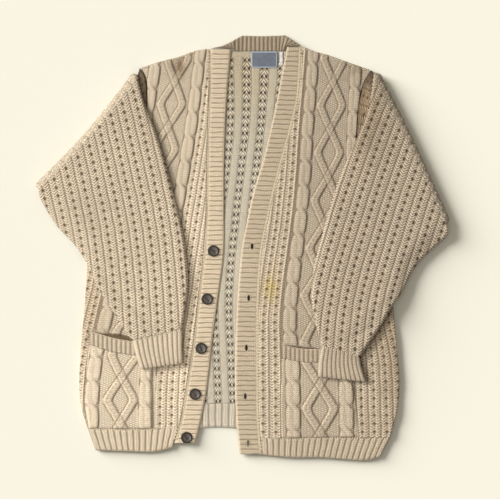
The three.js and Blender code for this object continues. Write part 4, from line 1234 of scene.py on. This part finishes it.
# %% The tube itself
class Tube:
    """A folded sleeve: its rows, its fold, its armhole and its grain, in mm."""

    def __init__(self, side):
        self.sign = side["sign"]
        self.rows = np.array(side["sleeve"], float)
        self.armhole = np.array(shift(side["armhole"], self.sign * 2 * GAP, GAP), float)
        self.start, self.stop = (np.array(side["fold"][key], float) for key in ("start", "stop"))
        self.bow = side["fold"]["bow"]
        way = (self.stop - self.start) / np.linalg.norm(self.stop - self.start)
        self.outward = np.array([-self.sign * way[1], self.sign * way[0]])
        self.last = len(self.rows) - 1
        grain = curve(side["sleeve_grain"], np.linspace(0, len(side["sleeve_grain"]) - 1, 200))
        self.grain_y = np.linspace(grain[0, 0], grain[-1, 0], 300)
        self.grain_x = np.interp(self.grain_y, *grain.T)

    def row(self, along):
        return curve(self.rows, np.maximum(along, 0))

    def middle(self, along, across):
        """Halfway through the tube: the place and the way out of the side that shows."""
        share, row = across[..., None], self.row(along)
        bowed = self.bow * np.sin(math.pi * across)
        fold = self.start + (self.stop - self.start) * share + self.outward * bowed[..., None]
        turn = np.clip(along + 1, 0, 1) * math.pi
        below = np.clip(-1 - along, 0, 1)[..., None]
        hole = curve(self.armhole, across * (len(self.armhole) - 1))
        under = fold + (hole - fold) * below + self.outward * (BEND * np.sin(turn))[..., None]
        ease = (bowed * np.clip(1 - along, 0, 1) ** 2)[..., None]
        over = row[..., 0:2] * (1 - share) + row[..., 2:4] * share + self.outward * ease
        lift = OVER_FRONT + (OVER_POCKET - OVER_FRONT) * row[..., 4]
        sunk = row[..., 5] * smoothstep(across, 0.84, 1)
        z = HALF + np.where(along <= 0, OVER_FRONT * (1 - np.cos(turn)) / 2, lift - sunk)
        flat = np.where((along <= 0)[..., None], under, over)
        out = np.stack([*(way * np.sin(turn) for way in self.outward), -np.cos(turn)], axis=-1)
        out = np.where((along <= 0)[..., None], out, (0, 0, 1))
        return np.concatenate([flat, z[..., None]], axis=-1), out

    def width(self, along):
        row = self.row(along)
        return np.linalg.norm(row[..., 2:4] - row[..., 0:2], axis=-1)

    def point(self, along, across, face, inset=0.0, relief=0.0):
        """A point of the face that shows (1) or of the one below (-1)."""
        width = self.width(along)
        margin = inset / width
        place, out = self.middle(along, margin + (1 - 2 * margin) * across)
        rounded = edge_round(np.minimum(across, 1 - across) * (width - 2 * inset))
        showing = smoothstep(along, -0.9, -0.6)
        return place + out * (face * rounded * (HALF - inset + relief * showing))[..., None]

    def on_knit(self, points, along, across):
        """Place on the cloth, across the wales and along them. Beyond the bend it is that of the
        bend, carried on."""
        above = self.point(np.maximum(along, 0), across, 1.0)
        x, y = (np.where(along > 0, points[..., k], above[..., k]) for k in (0, 1))
        ys, xs = self.grain_y, self.grain_x
        slope = np.interp(y, ys, np.gradient(xs, ys))
        from_middle = x - np.interp(y, ys, xs)
        upright = 1 / np.sqrt(1 + slope ** 2)
        run = np.interp(y, ys, run_along(np.column_stack([xs, ys])))
        beyond = math.pi * BEND * np.clip(along, -1, 0) + 110 * np.minimum(along + 1, 0)
        return from_middle * upright, run + from_middle * slope * upright - beyond

# %% [markdown]
# The tube needs a thickness as well. Its outer skin is fine enough for the ribs, its lining is
# eight times coarser round, and one face with many corners joins each step of the lining to the
# fine points beside it, so both ends are closed.

# %% Joining two skins
def tube_mesh(name, outer, inner, knit, marks):
    """Joins an outer and an inner skin, each a grid of rings, at both ends of the tube."""
    rings, around = outer.shape[:2]
    coarse_rings, coarse = inner.shape[:2]
    base, ratio = rings * around, around // coarse

    def ring_quads(rows, count):
        r, k = np.meshgrid(np.arange(rows - 1), np.arange(count), indexing="ij")
        place = lambda r, k: r * count + k % count
        return np.stack([place(r, k), place(r, k + 1), place(r + 1, k + 1), place(r + 1, k)],
                        axis=-1).reshape(-1, 4)

    skin, lining = ring_quads(rings, around), base + ring_quads(coarse_rings, coarse)[:, ::-1]
    ends = []
    for ring, low_ring, step in ((0, 0, -1), (rings - 1, coarse_rings - 1, 1)):
        for part in range(coarse):
            fine = [ring * around + (part * ratio + k) % around for k in range(ratio + 1)]
            low = [base + low_ring * coarse + (part + k) % coarse for k in (1, 0)]
            ends.append((fine + low)[::step])
    points = np.concatenate([outer.reshape(-1, 3), inner.reshape(-1, 3)])
    quads = np.concatenate([skin, lining])
    corner = points[skin]
    centre = corner.mean(axis=1)
    normal = np.cross(corner[:, 1] - corner[:, 0], corner[:, 3] - corner[:, 0])
    if (normal * (centre - centre.mean(axis=0))).sum() < 0:
        quads, ends = quads[:, ::-1], [face[::-1] for face in ends]
    spare = np.zeros((coarse_rings * coarse, 2))
    marks = {key: np.concatenate([values.ravel(), spare[:, 0]]) for key, values in marks.items()}
    knit = np.concatenate([knit.reshape(-1, 2), spare])
    return cloth_object(name, points, quads, knit, marks, ends)

# %% Places on a sleeve
# How wide one repeat of the ribs lies, where one of the eyelets is, and how wide the painted brown
# shade in the armhole is.
SLEEVE_REPEAT = 24.2
SPACING = dict(right=24.2, left=25.6)
EYELET_AT = dict(right=(-255.4, 132.9), left=(249.6, 134.1))
HOLLOW_WIDTH = dict(right=11, left=7)
ACROSS, UNDER, LINING_STEP = 176, 40, 8
CREASES = dict(
    right=[(-262, -6, -150, -118, 9, 1.6), (-240, -58, -150, -140, 7, -1.8),
           (-215, -110, -135, -146, 6, 1.5), (-330, 70, -250, 10, 16, 1.2)],
    left=[(270, -70, 170, -150, 9, 1.5), (245, -125, 180, -170, 6, -1.6),
          (330, 10, 240, -20, 14, 1.2)])


def sleeve_grid(tube):
    """The places along and across of every point of the skin, and the face it is on."""
    steps = round(run_along(tube.rows[:, :2])[-1] / FINE)
    along = np.concatenate([np.linspace(-2, -1, 12)[:-1], np.linspace(-1, 0, 18)[:-1],
                            np.linspace(0, tube.last, steps)])
    below = 0.5 + 0.5 * np.cos(math.pi * np.arange(1, UNDER + 1) / (UNDER + 1))
    across, face = faces_of_ring(np.linspace(0, 1, ACROSS), below)
    s, t = np.meshgrid(across, along)
    return t, s, np.broadcast_to(face, s.shape)


def knit_from_eyelet(tube, name, points, t, s):
    """Place on the cloth, counted from one of the eyelets."""
    place, run = tube.on_knit(points, t, s)
    eyelet = np.array([[*EYELET_AT[name], 0.0]])
    first = tube.on_knit(eyelet, np.array([1.0]), np.array([0.5]))
    return (place - first[0][0]) * SLEEVE_REPEAT / SPACING[name], run - first[1][0]

# %% [markdown]
# A sleeve is now a matter of three heights: the ribs with their eyelets, a slow waviness, and a few
# soft folds towards the cuff. Down in the armhole the wool is marked as hollow, which the material
# paints in a deep brown shade.

# %% Fold the sleeves
def sleeve(side, material):
    tube, name = Tube(side), side["name"]
    t, s, facing = sleeve_grid(tube)
    width = tube.width(t)
    place, run = knit_from_eyelet(tube, name, tube.point(t, s, facing), t, s)
    edge = smoothstep(np.minimum(s, 1 - s) * width, 1.0, 4.0)
    relief = np.where(facing > 0, eyelet_ribs(place, run, SLEEVE_REPEAT, 0) * edge, 0)
    outer = tube.point(t, s, facing, 0.0, relief)
    x, y = outer[..., 0], outer[..., 1]
    folds = 0.6 * ripple(x, y, 120, 2.0) + crease_height(x, y, CREASES[name])
    outer[..., 2] += folds * smoothstep(t, 0.0, 0.4) * edge
    _, away = onto_outline(outer[..., :2].reshape(-1, 2), tube.armhole)
    # Painted brown shade down in the armhole, fading away from its edge.
    hollow = np.exp(-(away.reshape(s.shape) / HOLLOW_WIDTH[name]) ** 2) * smoothstep(-t, 0.2, 0.6)
    # Near the fold the ribs fade, and where a material asks for it the cloth there is painted
    # lighter as a highlight.
    plain_fold = 0.75 * (1 - smoothstep(t * width / 5, 1.0, 10.0)) * (facing > 0)
    # The inner edge is scalloped by its stitches.
    scallops = np.sin(2 * math.pi * run / (EYELET_STEP / 2)) * np.exp(-s * width / 4)
    outer[..., 0] += 0.7 * tube.sign * scallops
    s_in, t_in = np.meshgrid(s[0, ::LINING_STEP], np.concatenate(
        [np.linspace(-2, 0, 9)[:-1], np.linspace(0, tube.last, 24)]))
    inner = tube.point(t_in, s_in, np.broadcast_to(facing[0, ::LINING_STEP], s_in.shape), WALL)
    piece = tube_mesh(name + "_sleeve_knit", outer, inner, np.stack([place, run], axis=-1),
                      dict(hollow=hollow, plain=plain_fold))
    settle(piece, material, name + "_sleeve")
    hidden = np.concatenate([even(side["armhole"], 30), [tube.stop, tube.start]])
    name + "_front_knit"


SLEEVE_RIBS = (SLEEVE_REPEAT, 0, -1, 2.8, 1.0)
# The right sleeve is painted lighter than the left, for the light on each, and lighter on its fold
# as a highlight; both carry patches of painted shade and painted light.
sleeve(RIGHT, wool(
    "wool_right_sleeve", cream(0.405), SLEEVE_RIBS, contrast=1.1, relief=1.5, painted_highlight=0.45,
    stains_and_painted_light=[stain_and_painted_light(-160, 250, 30, 60, SHADED, 0.3), stain_and_painted_light(-130, -70, 60, 90, SUNLIT)]))
sleeve(LEFT, wool(
    "wool_left_sleeve", cream(0.352), SLEEVE_RIBS, contrast=1.1, relief=1.5,
    stains_and_painted_light=[stain_and_painted_light(215, 230, 60, 90, SHADED, 1.0), stain_and_painted_light(212, 262, 12, 42, (1.55, 1.42, 1.2), 0.9)]))

# %% [markdown]
# A cuff is the same kind of tube, drawn in at the wrist and ribbed all round by the ribbing tree.

# %% Cuffs
RIB_POINTS = 7


def cuff_skin(rows, s, along, facing, inset):
    """Points of a cuff's outer or inner skin, and how far they are from its flattened edges."""
    row = curve(rows, along)
    wide = np.linalg.norm(row[..., 2:] - row[..., :2], axis=-1)
    margin = inset / wide
    share = (margin + (1 - 2 * margin) * s)[..., None]
    flat = row[..., :2] * (1 - share) + row[..., 2:] * share
    rounded = edge_round(np.minimum(s, 1 - s) * (wide - 2 * inset))
    thinner = 1 - 0.45 * smoothstep(along, len(rows) - 1.35, len(rows) - 1.0)
    half = HALF - (inset or 0.3)
    z = OVER_POCKET + HALF + facing * rounded * thinner * half
    return np.concatenate([flat, z[..., None]], axis=-1), rounded


def cuff(side, brightness):
    name = side["name"] + "_cuff"
    rows = np.array(side["cuff"], float)
    ribs = round(np.linalg.norm(rows[1, :2] - rows[1, 2:]) / 7.8)
    ring = lambda count: faces_of_ring(np.linspace(0, 1, count + 1),
                                       np.linspace(1, 0, count + 1)[1:-1])
    across, face = ring(ribs * RIB_POINTS)
    s, along = np.meshgrid(across, np.linspace(0, len(rows) - 1, 16))
    facing = np.broadcast_to(face, s.shape)
    outer, rounded = cuff_skin(rows, s, along, facing, 0.0)
    across, face = ring(ribs)
    s_in, t_in = np.meshgrid(across, np.linspace(0, len(rows) - 1, 4))
    inner, _ = cuff_skin(rows, s_in, t_in, np.broadcast_to(face, s_in.shape), WALL)
    rib = np.where(facing > 0, s * ribs, 2 * ribs - s * ribs)
    knit = np.stack([rib * WALES_A_RIB * STITCH, along * 35.0], axis=-1)
    piece = tube_mesh(name + "_knit", outer, inner, knit, {})
    out = np.zeros((len(piece.data.vertices), 3))
    out[:s.size, 2] = (facing * rounded ** 0.7 * np.where(facing > 0, 1, 0.3)).ravel()
    count = np.zeros(len(out))
    count[:s.size] = rib.ravel()
    material = wool("wool_" + name, cream(brightness))
    rib_up(piece, count, out, material, 1.1, 0.34, 0.8)
    outline = np.concatenate([outer[:, 0, :2], outer[::-1, ribs * RIB_POINTS, :2]])
    lay(piece, material, name, outline, sides=2)


# The right cuff is painted lighter than the left, for the light on each.
cuff(RIGHT, 0.67)
cuff(LEFT, 0.56)

# %% [markdown]
# ## Stitches along a line
# Seams, buttonholes and labels are sewn with a row of stitches, which is again a thing repeated
# along a path. The tree below turns a line into a curve, walks it at an even pace and sets a small
# round-ended stitch at every step, turned to lie along the line or across it.

# %% The stitching tree
STITCHING, given, output = geometry_tree("stitching", Pace="Float", Length="Float",
                                         Thickness="Float", Lean="Float", Material="Material")
step = lambda kind, inputs=None, **settings: add(STITCHING, kind, inputs, **settings).outputs[0]
line = step("GeometryNodeMeshToCurve", {"Mesh": given["Geometry"]})
paced = step("GeometryNodeResampleCurve", {"Curve": line, "Length": given["Pace"]}, mode="LENGTH")
ball = step("GeometryNodeMeshUVSphere", {"Segments": 6, "Rings": 5, "Radius": 0.5})
tangent = step("GeometryNodeInputTangent")
turned = step("FunctionNodeAlignEulerToVector", {"Vector": tangent}, axis="Y")
leaning = step("ShaderNodeCombineXYZ", {2: given["Lean"]})
rotated = step("FunctionNodeRotateEuler", {0: turned, 1: leaning}, space="OBJECT")
size = step("ShaderNodeCombineXYZ", {
    0: given["Thickness"], 1: given["Length"], 2: given["Thickness"]})
sewn = step("GeometryNodeInstanceOnPoints", {
    "Points": paced, "Instance": ball, "Rotation": rotated, "Scale": size})
finish_tree(STITCHING, sewn, given["Material"], output)
print("stitching tree:", len(STITCHING.nodes), "nodes")

# %% How to sew
def sew(name, lines, material, pace, length, thickness, lean=0.0):
    """One piece of stitches along several lines of points in mm."""
    points, edges = [], []
    for line in lines:
        start = len(points)
        points += [tuple(float(v) * MM for v in p) for p in line]
        edges += [(start + k, start + k + 1) for k in range(len(line) - 1)]
    mesh = bpy.data.meshes.new(name)
    mesh.from_pydata(points, edges, [])
    piece = new_object(name, mesh)
    run_tree(piece, STITCHING, Pace=pace * MM, Length=length * MM, Thickness=thickness * MM,
             Lean=lean, Material=material)
    piece.data.shade_smooth()
    settle(piece, material, None)
    print(f"{name}: {len(piece.data.polygons)} faces of stitches")


def at_height(line, z):
    """A line of [x, y] lifted to a height."""
    return np.column_stack([line, np.full(len(line), z)])


def closed(ring):
    return np.vstack([ring, ring[:1]])

# %% [markdown]
# ## Thread, seams and buttonholes
# The bands are sewn on with a slanting overcast stitch, and each buttonhole is worked round with
# short stitches that point away from the slit.

# %% Sew the seams
ACROSS_LINE = math.pi / 2


def thread(name, colour):
    material, place = new_material(name, roughness=0.8)
    twist = Field(add(material.node_tree, "ShaderNodeTexWave", {
        "Vector": place, "Scale": 900.0, "Distortion": 2.0}).outputs["Fac"])
    return painted(material, lit(colour, twist * 0.35 + 0.75), twist, 0.5, 0.3)


WOOL_THREAD = thread("wool_thread", (0.70, 0.60, 0.43))
ON_FRONT = FRONT + WALL
for side in SIDES:
    name = side["name"]
    seam, hem_line = even(side["seam"], 80)[1:-1], even(side["hem_top"], 60)[1:-1]
    shoulder = even(side["shoulder"], 40)[1:-1] - (0, 2.0)
    wrist = np.linspace(np.array(side["cuff"][0][:2]), side["cuff"][0][2:], 20)[1:-1]
    for label, lines, z, slot, pace, length, thick, lean in (
            ("band", [seam + (side["sign"] * beside, 0) for beside in (-1.6, 1.1)], ON_FRONT + 0.6,
             "band", 5.6, 4.6, 2.6, 0.55),
            ("cuff", [wrist], OVER_POCKET + 2 * HALF - 0.3, "cuff", 3.5, 5.0, 2.4, ACROSS_LINE),
            ("hem", [hem_line], ON_FRONT + 0.5, "front_hem", 4.3, 5.0, 2.6, ACROSS_LINE),
            ("shoulder", [shoulder], ON_FRONT + 0.5, "front", 3.4, 3.9, 1.9, 0.7)):
        sew(f"{name}_{label}_seam", [at_height(line, z) for line in lines], WOOL_THREAD,
            pace, length, thick, lean)
rings = [closed(slit_at(x, y, 3.4, 6.4)) for x, y in BUTTONHOLES]
sew("buttonhole_stitches", [at_height(ring, ON_FRONT + 1.0) for ring in rings], WOOL_THREAD,
    1.5, 1.8, 1.1, ACROSS_LINE)

# %% [markdown]
# ## Buttons
# Each button is dark horn, turned on a lathe: a rounded rim round a shallow dish, and two holes
# drilled through it. The lathe is a profile swept round an axis; the holes are cut with a boolean,
# once, and the same mesh is then placed five times. The dish is marked, so that the horn can be
# paler there, which lets the two dark holes be seen from far off.

# %% Drill a button
# x, y, how far it is turned and how far it is tilted.
BUTTONS = [(-50, -7, 1.0, 0), (-61, -91, 0.65, 0), (-71.5, -177, 0.35, 0), (-82, -257, 0.3, 0),
           (-97, -333, 0.6, 0.1)]
HOLE_AT, HOLE_RADIUS = 3.1, 1.5
DISH_RADIUS, DISH_ABOVE, HOLE_RING = 7.2, 2.0, 2.3
ON_BAND = FRONT + WALL + 1.2 + GAP
# Radius and height, from the underside out over the rim and into the dish.
PROFILE = [(7.6, 0.0), (8.8, 0.35), (9.7, 1.2), (10.0, 2.0), (9.75, 2.75), (9.1, 3.25), (8.3, 3.4),
           (7.5, 3.2), (7.0, 2.75), (6.2, 2.42), (4.4, 2.22), (2.2, 2.14)]


def lathed(profile, around=48):
    """A closed solid: the profile swept round the Z axis, its poles closed with triangles."""
    turns = np.arange(around) * 2 * math.pi / around
    points = [(0, 0, 0)]
    points += [(r * math.cos(a), r * math.sin(a), z) for r, z in profile for a in turns]
    points.append((0, 0, profile[-1][1]))
    ring = lambda row, k: 1 + row * around + k % around
    last = len(profile) - 1
    faces = [(0, ring(0, k + 1), ring(0, k)) for k in range(around)]
    faces += [(ring(row, k), ring(row, k + 1), ring(row + 1, k + 1), ring(row + 1, k))
              for row in range(last) for k in range(around)]
    faces += [(ring(last, k), ring(last, k + 1), len(points) - 1) for k in range(around)]
    mesh = bpy.data.meshes.new("button")
    mesh.from_pydata(points, [], faces)
    return mesh


def drilled_button():
    """The mesh of a button, with its two holes cut."""
    button = new_object("button", lathed(PROFILE))
    for side in (-1, 1):
        bpy.ops.mesh.primitive_cylinder_add(vertices=20, radius=HOLE_RADIUS, depth=12,
                                            location=(0, HOLE_AT * side, 0))
        drill = bpy.context.object
        cut = button.modifiers.new("hole", "BOOLEAN")
        cut.object, cut.operation, cut.solver = drill, "DIFFERENCE", "EXACT"
        graph = bpy.context.evaluated_depsgraph_get()
        button.data = bpy.data.meshes.new_from_object(button.evaluated_get(graph), depsgraph=graph)
        button.modifiers.clear()
        bpy.data.objects.remove(drill)
    mesh = button.data
    bpy.data.objects.remove(button)
    mesh.shade_smooth()
    mesh.set_sharp_from_angle(angle=math.radians(50))
    x, y, z = np.array([point.co for point in mesh.vertices]).T
    from_hole = np.minimum(np.hypot(x, y - HOLE_AT), np.hypot(x, y + HOLE_AT))
    mark(mesh, "dish", (np.hypot(x, y) < DISH_RADIUS) & (z > DISH_ABOVE) & (from_hole > HOLE_RING))
    return mesh

# %% [markdown]
# Horn is nearly black, with streaks along the button. The same mesh is turned a little differently
# on each stem, as buttons are, and two threads run from hole to hole.

# %% Horn and thread
def horn():
    """Dark horn with fine streaks, paler in the dish."""
    material, place = new_material("horn", roughness=0.4, specular=0.3)
    tree = material.node_tree
    stretched = add(tree, "ShaderNodeMapping", {0: place, 3: (90, 380, 90)}).outputs[0]
    streak = noise(stretched, 1.0, 4.0)
    shown = mixed(streak, (0.004, 0.003, 0.003), (0.036, 0.028, 0.021))
    shown = mixed(attribute(tree, "dish"), shown, (0.062, 0.053, 0.043))
    return painted(material, shown, streak, 0.15, 0.2)


HORN = horn()
blank = drilled_button()
threads = []
for i, (x, y, turned, tilt) in enumerate(BUTTONS):
    place = (Matrix.Translation((x * MM, y * MM, ON_BAND * MM)) @ Matrix.Rotation(turned, 4, "Z")
             @ Matrix.Rotation(tilt, 4, "Y") @ Matrix.Scale(MM, 4))
    mesh = blank.copy()
    mesh.transform(place)
    settle(new_object(f"button_{i + 1}_horn", mesh), HORN, f"button_{i + 1}")
    for across in (-0.45, 0.45):
        ends = [place @ Vector((across, end, 2.35)) for end in (-HOLE_AT, 0, HOLE_AT)]
        threads.append([tuple(v / MM for v in end) for end in ends])
bpy.data.meshes.remove(blank)
BUTTON_THREAD = thread("button_thread", (0.012, 0.010, 0.009))
sew("button_thread", threads, BUTTON_THREAD, 2.6, 3.0, 0.6)
print("buttons:", len(BUTTONS), "with two holes each")

# %% [markdown]
# ## Labels
# Inside the back of the neck sits a woven label in pale blue-grey with a lighter border, left
# blank, and beside it a narrow white tape. A label is a thin plate, so it is laid out as a grid
# cut to its rounded outline, and its weave is a bump of crossed threads.

# %% Weave the labels
# The middle, size, corner radius and thickness of the label and of the tape.
LABEL = dict(x=39, y=327.5, width=46, height=29, corner=5, thick=0.8)
TAPE = dict(x=68.6, y=329, width=5.4, height=24, corner=0.8, thick=0.5)
BORDER, STITCHED_IN = 2.2, 1.4


def woven(name, colour, plate, border=None):
    material, place = new_material(name, roughness=0.6, sheen=0.25)
    tree = material.node_tree
    centre = (-plate["x"] * MM, -plate["y"] * MM, 0)
    centred = add(tree, "ShaderNodeMapping", {0: place, 1: centre}).outputs[0]
    split = add(tree, "ShaderNodeSeparateXYZ", {0: centred}).outputs
    x, y = (Field(split[k]) / MM for k in (0, 1))
    weft = hump(y / 0.9)
    weave = hump(x / 0.7) * weft + weft * 0.4
    shown = lit(colour, weave * 0.16 + 0.42 + noise(place, 130.0, 3.0) * 0.85)
    if border:
        to_side, to_top = plate["width"] / 2 - abs(x), plate["height"] / 2 - abs(y)
        shown = mixed(maths("LESS_THAN", maths("MINIMUM", to_side, to_top), BORDER), shown, border)
    return painted(material, shown, weave, 0.6, 0.25)

# %% Sew in the labels
def label(name, node, plate, material):
    x, y, corner = plate["x"], plate["y"], plate["corner"]
    half, tall = plate["width"] / 2, plate["height"] / 2
    turn = np.linspace(0, math.pi / 2, 6)
    bend = lambda cx, cy, start: [
        (cx + corner * math.cos(a + start), cy + corner * math.sin(a + start)) for a in turn]
    low_corners = (bend(corner - half, corner - tall, math.pi)
                   + bend(half - corner, corner - tall, 1.5 * math.pi))
    outline = np.array([(-half, tall)] + low_corners + [(half, tall)]) + (x, y)
    flat, quads = cut_grid(*np.meshgrid(np.arange(x - half - 1, x + half + 1, 0.8),
                                        np.arange(y - tall - 1, y + tall + 1, 0.8)), outline)
    wave = 0.25 * ripple(flat[:, 0], flat[:, 1], 30, 1.3)
    points = np.column_stack([flat, FRONT + plate["thick"] + 0.2 + wave])
    piece = closed_sheet(name, points, quads, FRONT, flat, {})
    return settle(piece, material, node), outline


tape, _ = label("care_tag_woven", "care_tag", TAPE, woven("tape_weave", (0.62, 0.61, 0.60), TAPE))
plate, edge = label("neck_label_woven", "neck_label", LABEL,
                    woven("label_weave", (0.11, 0.124, 0.16), LABEL, (0.30, 0.33, 0.38)))
inward = np.array([LABEL["x"], LABEL["y"]]) - edge
inward = edge + inward * STITCHED_IN / np.linalg.norm(inward, axis=1)[:, None]
LABEL_THREAD = thread("label_thread", (0.34, 0.37, 0.42))
sew("label_stitches", [at_height(closed(inward), FRONT + 1.15)], LABEL_THREAD,
    2.6, 1.9, 0.5)

# %% [markdown]
# ## Camera, light and floor
# The cardigan is seen from straight above, through a long lens from far away, so that near and
# far layers keep their sizes. The key light comes from the upper left and rakes over the stitches,
# and a soft lamp on the same side lets the light fall off to the right. Pale paper would glare
# under lamps strong enough for thick wool. So these two are linked to the garment only, and a
# third, lower sun lights the floor alone, where it draws the soft shadow.

# %% Camera
FRAMED, VIEWED = 0.875, (0.014, -0.0044)


def aim(made, target):
    made.rotation_euler = (Vector(target) - made.location).to_track_quat("-Z", "Y").to_euler()


scene = bpy.context.scene
lens = bpy.data.cameras.new("camera")
lens.lens = 200
lens.clip_end = 50
camera = new_object("camera", lens)
camera.location = (*VIEWED, FRAMED * lens.lens / lens.sensor_width)
aim(camera, (*VIEWED, 0))
scene.camera = camera
print("camera", [round(v, 3) for v in camera.location])

# %% Lights
WARM = (1, 0.985, 0.955)


def light(name, kind, place, power, tint, **settings):
    made = bpy.data.lights.new(name, kind)
    made.energy, made.color = power, tint
    for key, value in settings.items():
        setattr(made, key, value)
    lamp = new_object(name, made)
    lamp.location = place
    aim(lamp, (0, 0, 0))
    return lamp


def only_on(lamps, name, pieces):
    """Links the lamps to these pieces alone."""
    lit_ones = bpy.data.collections.new(name)
    for piece in pieces:
        lit_ones.objects.link(piece)
    for lamp in lamps:
        lamp.light_linking.receiver_collection = lit_ones


key = light("key", "SUN", (-2.0, 1.0, 1.6), 3.86, WARM, angle=math.radians(16))
beside = light("side", "AREA", (-0.5, -0.2, 1.0), 8.0, (1, 0.98, 0.95), size=0.6)
low = light("low", "SUN", (-2.0, 1.2, 0.85), 6.6, WARM, angle=math.radians(38))
only_on((key, beside), "garment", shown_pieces())
world = bpy.data.worlds.new("studio")
world.use_nodes = True
background = world.node_tree.nodes["Background"]
background.inputs["Color"].default_value = (1, 0.95, 0.86, 1)
background.inputs["Strength"].default_value = 0.34
scene.world = world
scene.view_settings.view_transform = "Standard"
print("lamps:", key.name, beside.name, low.name)

# %% Floor
WIDE, JUST_BELOW = 6, -0.0005
floor_mesh = bpy.data.meshes.new("floor")
corners = ((-WIDE, -WIDE), (WIDE, -WIDE), (WIDE, WIDE), (-WIDE, WIDE))
floor_mesh.from_pydata([(x, y, JUST_BELOW) for x, y in corners], [], [(0, 1, 2, 3)])
floor = new_object("floor", floor_mesh)
paper, _ = new_material("paper", colour=(0.906, 0.888, 0.782, 1), roughness=1.0, specular=0.0)
floor_mesh.materials.append(paper)
only_on((low,), "ground", (floor,))
print("floor:", 2 * WIDE, "m wide")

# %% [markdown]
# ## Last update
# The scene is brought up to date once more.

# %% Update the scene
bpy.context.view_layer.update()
